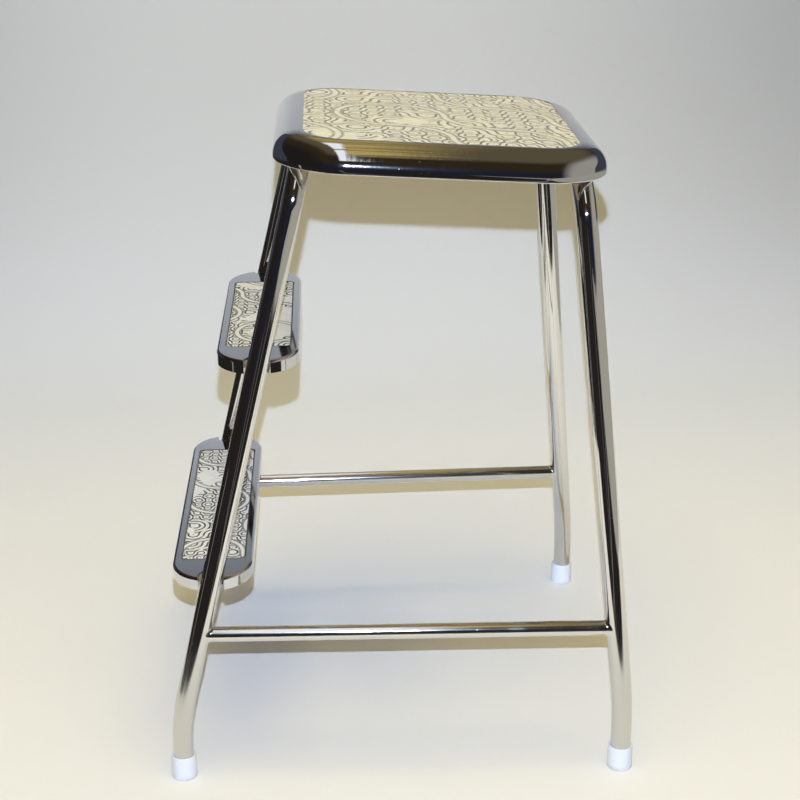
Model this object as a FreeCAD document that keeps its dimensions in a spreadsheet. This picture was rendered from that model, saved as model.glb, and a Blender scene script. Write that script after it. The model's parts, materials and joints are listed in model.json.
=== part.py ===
import FreeCAD, Part
import math
import os

import Sketcher

# Step stool chair: a rigid frame of two bent tubes, a pressed seat pan, and two tray steps.
# Millimetres. +Z is up, and the origin is on the floor, in the middle of the four feet.
# X runs from the step side (negative) to the back legs (positive). Y runs across the steps.

os.makedirs("parts", exist_ok=True)
doc = FreeCAD.newDocument("StepStool")

# Driving dimensions

SIZES = {
    # seat
    "seat_height": 600.0,
    "seat_width": 302.0,
    "seat_depth": 304.0,
    "seat_corner_radius": 65.0,
    "seat_tilt": 3.3,
    "seat_centre_x": 41.8,
    "seat_border": 26.5,
    "seat_board_thickness": 8.0,
    "seat_board_margin": 20.0,
    # pan profile, from the border's edge outwards and down
    "shoulder_radius": 33.0,
    "shoulder_angle": 22.0,
    "rim_tuck_angle": 3.6,
    "bead_radius": 1.8,
    # sheet and laminate
    "sheet_thickness": 1.2,
    "inlay_thickness": 1.2,
    "inlay_set_down": 0.2,
    "inlay_gap": 0.3,
    # frame tubes
    "leg_diameter": 19.5,
    "leg_wall": 1.5,
    "crest_bend_radius": 50.0,
    "step_crest_setback": 15.7,
    "back_crest_setback": 19.8,
    "step_crest_inset": 24.0,
    "back_crest_inset": 10.0,
    "foot_spread": 422.0,
    "step_foot_half_span": 185.0,
    "back_foot_half_span": 192.5,
    "step_foot_bend_height": 62.0,
    "back_foot_bend_height": 70.0,
    "step_foot_bend_radius": 240.0,
    "back_foot_bend_radius": 400.0,
    # stretchers
    "stretcher_height": 147.5,
    "stretcher_diameter": 14.5,
    "stretcher_wall": 1.2,
    "collar_length": 4.5,
    "collar_flare": 2.2,
    "collar_lip": 0.3,
    # foot caps
    "cap_diameter": 24.5,
    "cap_length": 24.5,
    "cap_floor": 4.0,
    "cap_rounding": 1.6,
    "cap_top_inset": 0.5,
    "cap_chamfer": 0.8,
    # steps
    "upper_step_height": 408.5,
    "lower_step_height": 206.0,
    "upper_tip_beyond_leg": 2.3,
    "lower_tip_beyond_leg": 7.0,
    "step_width": 76.0,
    "step_rim_depth": 12.5,
    "step_edge_radius": 2.6,
    "step_border": 7.0,
    "step_inlay_setback": 3.0,
    "step_inlay_corner": 6.0,
    "step_inlay_gap": 0.5,
    "notch_play": 0.6,
    "step_board_thickness": 6.8,
    "board_gap": 0.4,
    # brackets, straps and screws
    "bracket_width": 22.0,
    "bracket_reach": 32.0,
    "bracket_thickness": 2.5,
    "gusset_thickness": 3.0,
    "gusset_drop": 13.0,
    "gusset_reach": 15.0,
    "gusset_tip": 1.0,
    "bracket_screw_margin": 10.2,
    "bracket_screw_side_margin": 4.2,
    "strap_width": 24.0,
    "strap_thickness": 1.6,
    "strap_ear": 15.0,
    "strap_hook": 4.0,
    "strap_offset": 55.0,
    "strap_screw_margin": 6.0,
    "push_fit": 0.05,
    "screw_diameter": 3.2,
    "screw_head_diameter": 6.6,
    "screw_head_height": 2.0,
    "screw_grip": 5.0,
    "screw_tip_play": 0.2,
}

# How far a cutting tool runs past what it cuts
CUT_PAST = 5.0

sheet = doc.addObject("Spreadsheet::Sheet", "Sizes")
for row, (alias, value) in enumerate(SIZES.items(), start=1):
    sheet.set("A%d" % row, alias)
    sheet.set("B%d" % row, str(value))
    sheet.setAlias("B%d" % row, alias)
doc.recompute()


def size(alias):
    return float(sheet.get(alias))


def bind(target, name, formula):
    """Binds one property of a document object to a formula of sheet values."""
    words = formula.split(" ")
    for place, word in enumerate(words):
        bare = word.strip("()")
        if bare in SIZES:
            words[place] = word.replace(bare, "Sizes." + bare)
    target.setExpression(name, " ".join(words))


# Lines and points that the pieces share

LEG_RADIUS = size("leg_diameter") / 2
TILT = math.radians(size("seat_tilt"))
RECESS = size("inlay_thickness") + size("inlay_set_down")
SEAT_STACK = RECESS + size("sheet_thickness") + size("seat_board_thickness")


def crest_height(offset):
    """Height of a crest's axis, with the tube against the seat board's underside."""
    plane = size("seat_height") - math.tan(TILT) * offset
    return plane - (SEAT_STACK + LEG_RADIUS) / math.cos(TILT)


class Leg:
    """One side of a U tube: a crest corner, a foot corner and the line between them."""

    def __init__(self, crest_x, half_span, crest_z, foot_x, foot_half_span, foot_z):
        self.crest = FreeCAD.Vector(crest_x, half_span, crest_z)
        self.foot = FreeCAD.Vector(foot_x, foot_half_span, foot_z)

    def at(self, height):
        share = (self.crest.z - height) / (self.crest.z - self.foot.z)
        return self.crest + (self.foot - self.crest) * share

    def direction(self):
        return (self.crest - self.foot).normalize()


def crest_offset(setback):
    """How far a crest's axis lies from the seat's centre, its tube inside the pan's rim."""
    return size("seat_width") / 2 - size(setback) - LEG_RADIUS


def crest_half_span(inset):
    return size("seat_depth") / 2 - size(inset) - LEG_RADIUS


STEP_LEG = Leg(
    size("seat_centre_x") - crest_offset("step_crest_setback"),
    crest_half_span("step_crest_inset"),
    crest_height(-crest_offset("step_crest_setback")),
    -size("foot_spread") / 2,
    size("step_foot_half_span"),
    size("step_foot_bend_height"),
)
BACK_LEG = Leg(
    size("seat_centre_x") + crest_offset("back_crest_setback"),
    crest_half_span("back_crest_inset"),
    crest_height(crest_offset("back_crest_setback")),
    size("foot_spread") / 2,
    size("back_foot_half_span"),
    size("back_foot_bend_height"),
)


def mirrored(point):
    return FreeCAD.Vector(point.x, -point.y, point.z)


def foot_bottom(leg):
    return FreeCAD.Vector(leg.foot.x, leg.foot.y, size("cap_floor"))


# Bent tubes

def bent_path(points, radii):
    """A wire of straight runs joined by tangent arcs, one radius for each inner point."""
    edges = []
    start = points[0]
    for before, corner, after, radius in zip(points, points[1:], points[2:], radii):
        back = (before - corner).normalize()
        ahead = (after - corner).normalize()
        half_angle = back.getAngle(ahead) / 2
        tangent = radius / math.tan(half_angle)
        first = corner + back * tangent
        last = corner + ahead * tangent
        centre = corner + (back + ahead).normalize() * (radius / math.sin(half_angle))
        middle = centre + (corner - centre).normalize() * radius
        edges.append(Part.LineSegment(start, first).toShape())
        edges.append(Part.Arc(first, middle, last).toShape())
        start = last
    edges.append(Part.LineSegment(start, points[-1]).toShape())
    return Part.Wire(edges)


def u_path(leg, foot_bend_radius):
    near_side = [mirrored(p) for p in (foot_bottom(leg), leg.foot, leg.crest)]
    far_side = [leg.crest, leg.foot, foot_bottom(leg)]
    crest_bend = size("crest_bend_radius")
    radii = [foot_bend_radius, crest_bend, crest_bend, foot_bend_radius]
    return bent_path(near_side + far_side, radii)


def swept_ring(path, outer_radius, inner_radius):
    """Sweeps a ring, or a full disc where the inner radius is nought, along a path."""
    start = path.Edges[0].valueAt(path.Edges[0].FirstParameter)
    heading = path.Edges[0].tangentAt(path.Edges[0].FirstParameter)
    outer = Part.Wire(Part.makeCircle(outer_radius, start, heading))
    outer_tube = path.makePipe(Part.Face(outer))
    if inner_radius <= 0:
        return outer_tube
    inner = Part.Wire(Part.makeCircle(inner_radius, start, heading))
    return outer_tube.cut(path.makePipe(Part.Face(inner)))


STEP_PATH = u_path(STEP_LEG, size("step_foot_bend_radius"))
BACK_PATH = u_path(BACK_LEG, size("back_foot_bend_radius"))

sub_parts = []


def keep(piece, label):
    piece.Label = label
    sub_parts.append(piece)
    return piece


def u_tube(label, path):
    piece = doc.addObject("Part::Feature", label)
    piece.Shape = swept_ring(path, LEG_RADIUS, LEG_RADIUS - size("leg_wall"))
    ring_area = math.pi * (LEG_RADIUS ** 2 - (LEG_RADIUS - size("leg_wall")) ** 2)
    print(label, "volume", round(piece.Shape.Volume), "section x length", round(ring_area * path.Length))
    return keep(piece, label)


u_tube("step_side_frame_tube", STEP_PATH)
u_tube("back_frame_tube", BACK_PATH)

# Full rods on the tubes' paths, used to shape what butts against the tubes
step_rod = doc.addObject("Part::Feature", "StepRod")
step_rod.Shape = swept_ring(STEP_PATH, LEG_RADIUS, 0)
back_rod = doc.addObject("Part::Feature", "BackRod")
back_rod.Shape = swept_ring(BACK_PATH, LEG_RADIUS, 0)


# Small helpers for primitives and booleans

def cylinder(name, radius, height, place):
    piece = doc.addObject("Part::Cylinder", name)
    bind(piece, "Radius", radius)
    piece.Height = height
    piece.Placement = place
    return piece


def cut(name, base, tool):
    piece = doc.addObject("Part::Cut", name)
    piece.Base = base
    piece.Tool = tool
    return piece


def fuse(name, pieces):
    piece = doc.addObject("Part::MultiFuse", name)
    piece.Shapes = pieces
    return piece


def compound(name, pieces):
    piece = doc.addObject("Part::Compound", name)
    piece.Links = pieces
    return piece


def along(start, heading):
    """The placement that stands a primitive's Z axis at a point along a heading."""
    return FreeCAD.Placement(start, FreeCAD.Rotation(FreeCAD.Vector(0, 0, 1), heading))


def at_point(x, y, z):
    """An unturned placement."""
    return FreeCAD.Placement(FreeCAD.Vector(x, y, z), FreeCAD.Rotation())


def clearance_holes(name, spots, floor, thickness):
    """Upright cutters for screws that pass through a sheet which starts at a height."""
    tools = []
    for number, (x, y) in enumerate(spots, start=1):
        place = at_point(x, y, floor - CUT_PAST)
        radius = "screw_diameter / 2 + push_fit"
        tools.append(cylinder("%sHole%d" % (name, number), radius, thickness + 2 * CUT_PAST, place))
    return fuse(name + "Holes", tools)


# Stretchers, coped to the legs, with a fillet of braze at each end

def stretcher_ends(side):
    start = STEP_LEG.at(size("stretcher_height"))
    end = BACK_LEG.at(size("stretcher_height"))
    if side == "near":
        return mirrored(start), mirrored(end)
    return start, end


def stretcher(side):
    start, end = stretcher_ends(side)
    run = end - start
    place = along(start, run)
    outer = cylinder(side + "StretcherOuter", "stretcher_diameter / 2", run.Length, place)
    inner = cylinder(side + "StretcherInner", "stretcher_diameter / 2 - stretcher_wall", run.Length, place)
    pipe = cut(side + "StretcherPipe", outer, inner)
    coped = cut(side + "StretcherCoped", pipe, step_rod)
    return keep(cut(side + "Stretcher", coped, back_rod), side + "_stretcher")


def braze_collar(label, start, heading, rod):
    """A flared ring between a leg's wall and a stretcher, cut away where the leg is."""
    name = label.title().replace("_", "")
    cone = doc.addObject("Part::Cone", name + "Cone")
    bind(cone, "Radius1", "stretcher_diameter / 2 + collar_flare")
    bind(cone, "Radius2", "stretcher_diameter / 2 + collar_lip")
    bind(cone, "Height", "leg_diameter / 2 + collar_length")
    cone.Placement = along(start, heading)
    core = cylinder(name + "Core", "stretcher_diameter / 2", size("leg_diameter"), along(start, heading))
    ring = cut(name + "Ring", cone, core)
    return keep(cut(name, ring, rod), label)


for side in ("near", "far"):
    stretcher(side)
    start, end = stretcher_ends(side)
    braze_collar(side + "_step_side_braze_collar", start, end - start, step_rod)
    braze_collar(side + "_back_braze_collar", end, start - end, back_rod)


# Sketch helpers

def plane(body, role):
    for feature in body.Origin.OriginFeatures:
        if feature.Role == role:
            return feature
    raise ValueError(role)


def new_body(name, label, place):
    body = doc.addObject("PartDesign::Body", name)
    keep(body, label)
    body.Placement = place
    return body


def new_sketch(body, name, role="XY_Plane", height=None):
    sketch = body.newObject("Sketcher::SketchObject", name)
    sketch.AttachmentSupport = [(plane(body, role), "")]
    sketch.MapMode = "FlatFace"
    if height is not None:
        bind(sketch, "AttachmentOffset.Base.z", height)
    return sketch


def name_and_bind(sketch, index, name, formula):
    sketch.renameConstraint(index, name)
    bind(sketch, "Constraints." + name, formula)


def rounded_rectangle(sketch, half_x, half_y, radius):
    """Draws a centred rectangle with rounded corners, its three sizes bound to formulas."""
    x = value_of(half_x)
    y = value_of(half_y)
    r = value_of(radius)
    point = FreeCAD.Vector
    corners = [(x - r, y - r, 0), (r - x, y - r, 90), (r - x, r - y, 180), (x - r, r - y, 270)]
    sides = [
        (point(x, r - y, 0), point(x, y - r, 0)),
        (point(x - r, y, 0), point(r - x, y, 0)),
        (point(-x, y - r, 0), point(-x, r - y, 0)),
        (point(r - x, -y, 0), point(x - r, -y, 0)),
    ]
    lines = [sketch.addGeometry(Part.LineSegment(a, b), False) for a, b in sides]
    arcs = []
    for cx, cy, first in corners:
        circle = Part.Circle(point(cx, cy, 0), point(0, 0, 1), r)
        start = math.radians(first)
        arcs.append(sketch.addGeometry(Part.ArcOfCircle(circle, start, start + math.pi / 2), False))
    for place in range(4):
        after = (place + 1) % 4
        sketch.addConstraint(Sketcher.Constraint("Tangent", lines[place], 2, arcs[place], 1))
        sketch.addConstraint(Sketcher.Constraint("Tangent", arcs[place], 2, lines[after], 1))
    for place in range(1, 4):
        sketch.addConstraint(Sketcher.Constraint("Equal", arcs[0], arcs[place]))
    sketch.addConstraint(Sketcher.Constraint("Vertical", lines[0]))
    sketch.addConstraint(Sketcher.Constraint("Horizontal", lines[1]))
    name_and_bind(sketch, sketch.addConstraint(Sketcher.Constraint("Radius", arcs[0], r)), "corner", radius)
    right = Sketcher.Constraint("DistanceX", -1, 1, lines[0], 1, x)
    name_and_bind(sketch, sketch.addConstraint(right), "right", half_x)
    left = Sketcher.Constraint("DistanceX", lines[2], 1, -1, 1, x)
    name_and_bind(sketch, sketch.addConstraint(left), "left", half_x)
    top = Sketcher.Constraint("DistanceY", -1, 1, lines[1], 1, y)
    name_and_bind(sketch, sketch.addConstraint(top), "top", half_y)
    bottom = Sketcher.Constraint("DistanceY", lines[3], 1, -1, 1, y)
    name_and_bind(sketch, sketch.addConstraint(bottom), "bottom", half_y)
    return sketch


def value_of(formula):
    """Works a formula of sheet values out to a number, with the sheet's own engine."""
    probe = value_of.probe
    bind(probe, "Length", formula)
    doc.recompute([probe])
    return probe.Length.Value


value_of.probe = doc.addObject("Part::Box", "FormulaProbe")


def pad(body, name, sketch, length):
    """Fills a sketch downwards."""
    feature = body.newObject("PartDesign::Pad", name)
    feature.Profile = sketch
    bind(feature, "Length", length)
    feature.Reversed = True
    return feature


def pocket(body, name, sketch, length):
    """Cuts downwards from a sketch, and makes sure that something was cut away."""
    doc.recompute()
    before = body.Shape.Volume
    feature = body.newObject("PartDesign::Pocket", name)
    feature.Profile = sketch
    bind(feature, "Length", length)
    doc.recompute()
    if body.Shape.Volume > before - 1:
        feature.Reversed = True
        doc.recompute()
    if body.Shape.Volume > before - 1:
        raise ValueError(name + " cuts nothing")
    return feature


def stadium(sketch, half_length, half_width):
    """Draws a centred shape with straight long sides along Y and half-round ends."""
    straight_formula = "( %s ) - ( %s )" % (half_length, half_width)
    straight = value_of(straight_formula)
    w = value_of(half_width)
    point = FreeCAD.Vector
    right = sketch.addGeometry(Part.LineSegment(point(w, -straight, 0), point(w, straight, 0)), False)
    far = Part.ArcOfCircle(Part.Circle(point(0, straight, 0), point(0, 0, 1), w), 0, math.pi)
    far = sketch.addGeometry(far, False)
    left = sketch.addGeometry(Part.LineSegment(point(-w, straight, 0), point(-w, -straight, 0)), False)
    near = Part.ArcOfCircle(Part.Circle(point(0, -straight, 0), point(0, 0, 1), w), math.pi, 2 * math.pi)
    near = sketch.addGeometry(near, False)
    ring = [right, far, left, near]
    for place, edge in enumerate(ring):
        sketch.addConstraint(Sketcher.Constraint("Tangent", edge, 2, ring[(place + 1) % 4], 1))
    sketch.addConstraint(Sketcher.Constraint("Vertical", right))
    sketch.addConstraint(Sketcher.Constraint("PointOnObject", far, 3, -2))
    radius = Sketcher.Constraint("Radius", far, w)
    name_and_bind(sketch, sketch.addConstraint(radius), "halfWidth", half_width)
    centre_far = Sketcher.Constraint("DistanceY", -1, 1, far, 3, straight)
    name_and_bind(sketch, sketch.addConstraint(centre_far), "farCentre", straight_formula)
    centre_near = Sketcher.Constraint("DistanceY", near, 3, -1, 1, straight)
    name_and_bind(sketch, sketch.addConstraint(centre_near), "nearCentre", straight_formula)
    return sketch


# Seat

SEAT_PLACE = FreeCAD.Placement(
    FreeCAD.Vector(size("seat_centre_x"), 0, size("seat_height")),
    FreeCAD.Rotation(FreeCAD.Vector(0, 1, 0), size("seat_tilt")),
)
RECESS_FORMULA = "( inlay_thickness + inlay_set_down )"


def pan_profile():
    """Corner points and arcs of the pan's section, in the upright plane through its right side."""
    edge = size("seat_width") / 2
    border = size("seat_border")
    wall = size("sheet_thickness")
    turn = math.radians(size("shoulder_angle"))
    low = math.radians(size("rim_tuck_angle"))
    top_radius = size("shoulder_radius")
    side_radius = (border - top_radius * math.sin(turn)) / (1 - math.sin(turn))
    top_centre = (edge - border, -top_radius)
    side_centre = (edge - side_radius, -top_radius * (1 - math.cos(turn)) - side_radius * math.cos(turn))
    bead = size("bead_radius")
    floor = -RECESS - wall
    wall_top = -top_radius + math.sqrt((top_radius - wall) ** 2 - wall ** 2)

    def on(centre, radius, angle):
        x = centre[0] + radius * math.cos(angle)
        return FreeCAD.Vector(x, centre[1] + radius * math.sin(angle), 0)

    def arc(centre, radius, first, last):
        circle = Part.Circle(FreeCAD.Vector(centre[0], centre[1], 0), FreeCAD.Vector(0, 0, 1), radius)
        return Part.ArcOfCircle(circle, first, last)

    quarter = math.pi / 2
    shoulder = quarter - turn
    inner_start = math.acos(wall / (top_radius - wall))
    edges = [
        arc(top_centre, top_radius, shoulder, quarter),
        arc(side_centre, side_radius, -low, shoulder),
        Part.LineSegment(on(side_centre, side_radius, -low), on(side_centre, side_radius - wall, -low)),
        arc(side_centre, side_radius - wall, -low, shoulder),
        arc(top_centre, top_radius - wall, shoulder, inner_start),
        Part.LineSegment(
            FreeCAD.Vector(edge - border + wall, wall_top, 0), FreeCAD.Vector(edge - border + wall, floor, 0)
        ),
        Part.LineSegment(
            FreeCAD.Vector(edge - border + wall, floor, 0), FreeCAD.Vector(edge - border, floor, 0)
        ),
        Part.LineSegment(FreeCAD.Vector(edge - border, floor, 0), FreeCAD.Vector(edge - border, 0, 0)),
    ]
    bead_centre = on(side_centre, side_radius - bead, -low)
    return edges, bead_centre


def rim_sketch(body, name, edges):
    """A sketch across the pan's right side, where the rim's path starts."""
    sketch = new_sketch(body, name, "XZ_Plane", "seat_depth / 2 - seat_corner_radius")
    for edge in edges:
        sketch.addGeometry(edge, False)
    return sketch


def rim_pipe(body, name, profile, path):
    pipe = body.newObject("PartDesign::AdditivePipe", name)
    pipe.Profile = profile
    pipe.Spine = (path, ["Edge%d" % (number + 1) for number in range(8)])
    pipe.Mode = "Frenet"
    return pipe


def seat_pan():
    body = new_body("SeatPan", "seat_pan", SEAT_PLACE)
    path = new_sketch(body, "RimPath")
    rounded_rectangle(path, "seat_width / 2", "seat_depth / 2", "seat_corner_radius")
    edges, bead_centre = pan_profile()
    rim = rim_sketch(body, "RimProfile", edges)
    doc.recompute()
    rim_pipe(body, "Rim", rim, path)
    bead_circle = Part.Circle(bead_centre, FreeCAD.Vector(0, 0, 1), size("bead_radius"))
    bead = rim_sketch(body, "BeadProfile", [bead_circle])
    doc.recompute()
    rim_pipe(body, "Bead", bead, path)
    plate = new_sketch(body, "PlateOutline", height="0 - " + RECESS_FORMULA)
    inset = " - seat_border + sheet_thickness / 2"
    rounded_rectangle(
        plate, "seat_width / 2" + inset, "seat_depth / 2" + inset, "seat_corner_radius" + inset
    )
    pad(body, "Plate", plate, "sheet_thickness")


def seat_inlay():
    body = new_body("SeatInlay", "seat_inlay", SEAT_PLACE)
    outline = new_sketch(body, "InlayOutline", height="0 - inlay_set_down")
    inset = " - seat_border - inlay_gap"
    rounded_rectangle(
        outline, "seat_width / 2" + inset, "seat_depth / 2" + inset, "seat_corner_radius" + inset
    )
    pad(body, "Panel", outline, "inlay_thickness")


def seat_board():
    body = new_body("SeatBoard", "seat_board", SEAT_PLACE)
    outline = new_sketch(body, "BoardOutline", height="0 - " + RECESS_FORMULA + " - sheet_thickness")
    inset = " - seat_board_margin"
    rounded_rectangle(
        outline, "seat_width / 2" + inset, "seat_depth / 2" + inset, "seat_corner_radius" + inset
    )
    pad(body, "Board", outline, "seat_board_thickness")
    hole_top = "0 - " + RECESS_FORMULA + " - sheet_thickness - seat_board_thickness + screw_grip"
    holes = new_sketch(body, "ScrewHoles", height=hole_top)
    for x, y in strap_screw_spots():
        circle = Part.Circle(FreeCAD.Vector(x, y, 0), FreeCAD.Vector(0, 0, 1), size("screw_diameter") / 2)
        holes.addGeometry(circle, False)
    pocket(body, "ScrewPilots", holes, "screw_grip")


# Hooked straps under the seat, worked out in the seat's own frame

def in_seat(point):
    return SEAT_PLACE.inverse().multVec(point)


CRESTS = {"step_side": in_seat(STEP_LEG.crest), "back": in_seat(BACK_LEG.crest)}
BOARD_UNDERSIDE = -SEAT_STACK


def ear_middle():
    return LEG_RADIUS + size("strap_thickness") + size("strap_ear") / 2


def inboard(crest):
    """The way from a crest to the seat's middle, as a sign on X."""
    return 1 if crest.x < 0 else -1


def strap_rows():
    return (-size("strap_offset"), size("strap_offset"))


def spots_on_strap(crest, y):
    """The two screws through one strap's ear."""
    x = crest.x + inboard(crest) * ear_middle()
    spread = size("strap_width") / 2 - size("strap_screw_margin")
    return [(x, y - spread), (x, y + spread)]


def strap_screw_spots():
    spots = []
    for crest in CRESTS.values():
        for y in strap_rows():
            spots += spots_on_strap(crest, y)
    return spots


def strap_profile(crest):
    """The outline of a half clip: a hook round the tube's underside and one flat ear."""
    thick = size("strap_thickness")
    inner = LEG_RADIUS + size("push_fit")
    outer = inner + thick
    reach = outer + size("strap_ear")
    top = BOARD_UNDERSIDE
    axis = crest.z
    hook = axis + size("strap_hook")

    def at(x, z):
        return FreeCAD.Vector(crest.x + inboard(crest) * x, 0, z)

    edges = [Part.Arc(at(inner, axis), at(0, axis - inner), at(-inner, axis)).toShape()]
    outer_side = [at(-inner, axis), at(-inner, hook), at(-outer, hook), at(-outer, axis)]
    edges += [Part.LineSegment(a, b).toShape() for a, b in zip(outer_side, outer_side[1:])]
    edges.append(Part.Arc(at(-outer, axis), at(0, axis - outer), at(outer, axis)).toShape())
    ear = [at(outer, axis), at(outer, top - thick), at(reach, top - thick), at(reach, top)]
    ear += [at(inner, top), at(inner, axis)]
    edges += [Part.LineSegment(a, b).toShape() for a, b in zip(ear, ear[1:])]
    return Part.Face(Part.Wire(edges))


def seat_straps(side):
    crest = CRESTS[side]
    profile = doc.addObject("Part::Feature", side + "StrapProfile")
    profile.Shape = strap_profile(crest)
    straps = []
    for number, y in enumerate(strap_rows(), start=1):
        name = "%sStrap%d" % (side, number)
        blank = doc.addObject("Part::Extrusion", name + "Blank")
        blank.Base = profile
        blank.DirMode = "Custom"
        blank.Dir = FreeCAD.Vector(0, 1, 0)
        blank.Symmetric = True
        blank.Solid = True
        bind(blank, "LengthFwd", "strap_width")
        blank.Placement = at_point(0, y, 0)
        floor = BOARD_UNDERSIDE - size("strap_thickness")
        holes = clearance_holes(name, spots_on_strap(crest, y), floor, size("strap_thickness"))
        strap = cut(name, blank, holes)
        strap.Placement = SEAT_PLACE
        straps.append(strap)
    return keep(compound(side + "Straps", straps), side + "_seat_straps")


def screw(name, place, clamped):
    """A pan-headed screw, its head's bearing face at the placement and its shank along +Z."""
    length = clamped + size("screw_grip") - size("screw_tip_play")
    shank = cylinder(name + "Shank", "screw_diameter / 2", length, place)
    under = place.multiply(at_point(0, 0, -size("screw_head_height")))
    head = cylinder(name + "Head", "screw_head_diameter / 2", size("screw_head_height"), under)
    return fuse(name, [shank, head])


def seat_strap_screws():
    screws = []
    for number, (x, y) in enumerate(strap_screw_spots(), start=1):
        place = SEAT_PLACE.multiply(at_point(x, y, BOARD_UNDERSIDE - size("strap_thickness")))
        screws.append(screw("SeatScrew%d" % number, place, size("strap_thickness")))
    return keep(compound("SeatScrews", screws), "seat_strap_screws")


seat_pan()
seat_inlay()
seat_board()
seat_straps("step_side")
seat_straps("back")
seat_strap_screws()


# Foot caps

def foot_cap(label, x, y):
    body = new_body(label.title().replace("_", ""), label, at_point(x, y, 0))
    half = new_sketch(body, "CapSection", "XZ_Plane")
    outer = size("cap_diameter") / 2
    lip = outer - size("cap_top_inset")
    bore = LEG_RADIUS + size("push_fit")
    rounding = size("cap_rounding")
    chamfer = size("cap_chamfer")
    length = size("cap_length")
    floor = size("cap_floor")
    quarter = math.pi / 2

    def at(x, z):
        return FreeCAD.Vector(x, z, 0)

    up = FreeCAD.Vector(0, 0, 1)
    half.addGeometry(Part.LineSegment(at(0, 0), at(outer - rounding, 0)), False)
    low = Part.Circle(at(outer - rounding, rounding), up, rounding)
    half.addGeometry(Part.ArcOfCircle(low, -quarter, 0), False)
    upper = [at(outer, rounding), at(lip, length - chamfer), at(lip - chamfer, length)]
    inside = [at(bore, length), at(bore, floor), at(0, floor), at(0, 0)]
    corners = upper + inside
    for first, last in zip(corners, corners[1:]):
        half.addGeometry(Part.LineSegment(first, last), False)
    turned = body.newObject("PartDesign::Revolution", "Turned")
    turned.Profile = half
    turned.ReferenceAxis = (half, ["V_Axis"])
    turned.Angle = 360


for side, leg in (("step_side", STEP_LEG), ("back", BACK_LEG)):
    foot_cap("near_%s_foot_cap" % side, leg.foot.x, -leg.foot.y)
    foot_cap("far_%s_foot_cap" % side, leg.foot.x, leg.foot.y)


# Steps

class Step:
    """One tray step, centred on the legs' axes at half its rim's depth."""

    def __init__(self, name):
        self.name = name
        self.top = size(name + "_step_height")
        centre = STEP_LEG.at(self.top - size("step_rim_depth") / 2)
        self.centre_x = centre.x
        self.leg_y = centre.y
        self.half_length = self.leg_y + size(name + "_tip_beyond_leg")
        self.place = at_point(self.centre_x, 0, self.top)
        lean = STEP_LEG.direction()
        lean_x = lean.x / lean.z
        wide = LEG_RADIUS * math.sqrt(1 + lean_x ** 2)
        self.notch = wide + lean_x * size("step_rim_depth") / 2 + size("notch_play")
        self.half_formula = "%.6f + %s_tip_beyond_leg" % (self.leg_y, name)


def notch_outline(sketch, step, extra):
    """Two slots, open at the step's tips, with round inner ends about the legs."""
    half = step.notch + extra
    out = step.half_length + CUT_PAST
    up = FreeCAD.Vector(0, 0, 1)
    for side in (-1, 1):
        centre = FreeCAD.Vector(0, side * step.leg_y, 0)
        a = FreeCAD.Vector(half, side * step.leg_y, 0)
        b = FreeCAD.Vector(half, side * out, 0)
        c = FreeCAD.Vector(-half, side * out, 0)
        d = FreeCAD.Vector(-half, side * step.leg_y, 0)
        for first, last in ((a, b), (b, c), (c, d)):
            sketch.addGeometry(Part.LineSegment(first, last), False)
        start = math.pi if side > 0 else 0
        sketch.addGeometry(Part.ArcOfCircle(Part.Circle(centre, up, half), start, start + math.pi), False)
    return sketch


def step_inlay_sizes(step, play):
    half_x = "step_width / 2 - step_border" + play
    half_y = step.half_formula + " - step_width / 2 - step_inlay_setback" + play
    return half_x, half_y, "step_inlay_corner" + play


def top_edges(shape):
    names = []
    for number, edge in enumerate(shape.Edges, start=1):
        if abs(edge.BoundBox.ZMin) < 1e-6 and abs(edge.BoundBox.ZMax) < 1e-6:
            names.append("Edge%d" % number)
    return names


def step_tray(step):
    body = new_body(step.name.title() + "Tray", step.name + "_step_tray", step.place)
    outline = stadium(new_sketch(body, "TrayOutline"), step.half_formula, "step_width / 2")
    blank = pad(body, "Blank", outline, "step_rim_depth")
    doc.recompute()
    rounding = body.newObject("PartDesign::Fillet", "PressedEdge")
    rounding.Base = (blank, top_edges(blank.Shape))
    bind(rounding, "Radius", "step_edge_radius")
    recess = new_sketch(body, "RecessOutline")
    rounded_rectangle(recess, *step_inlay_sizes(step, ""))
    pocket(body, "Recess", recess, RECESS_FORMULA)
    hollow = new_sketch(body, "HollowOutline", height="0 - " + RECESS_FORMULA + " - sheet_thickness")
    stadium(hollow, step.half_formula + " - sheet_thickness", "step_width / 2 - sheet_thickness")
    pocket(body, "Hollow", hollow, "step_rim_depth")
    under = new_sketch(body, "BorderHollow", height="0 - sheet_thickness")
    stadium(under, step.half_formula + " - sheet_thickness", "step_width / 2 - sheet_thickness")
    rounded_rectangle(under, *step_inlay_sizes(step, " + sheet_thickness"))
    pocket(body, "BorderUnderside", under, RECESS_FORMULA)
    notches = notch_outline(new_sketch(body, "NotchOutline"), step, 0)
    pocket(body, "Notches", notches, "step_rim_depth + %g" % CUT_PAST)


def step_inlay(step):
    body = new_body(step.name.title() + "Inlay", step.name + "_step_inlay", step.place)
    outline = new_sketch(body, "InlayOutline", height="0 - inlay_set_down")
    rounded_rectangle(outline, *step_inlay_sizes(step, " - step_inlay_gap"))
    pad(body, "Panel", outline, "inlay_thickness")


def step_screw_spots(step):
    inward = step.leg_y - LEG_RADIUS - size("bracket_reach") + size("bracket_screw_margin")
    across = size("bracket_width") / 2 - size("bracket_screw_side_margin")
    return [(side_x * across, side_y * inward) for side_y in (-1, 1) for side_x in (-1, 1)]


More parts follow.
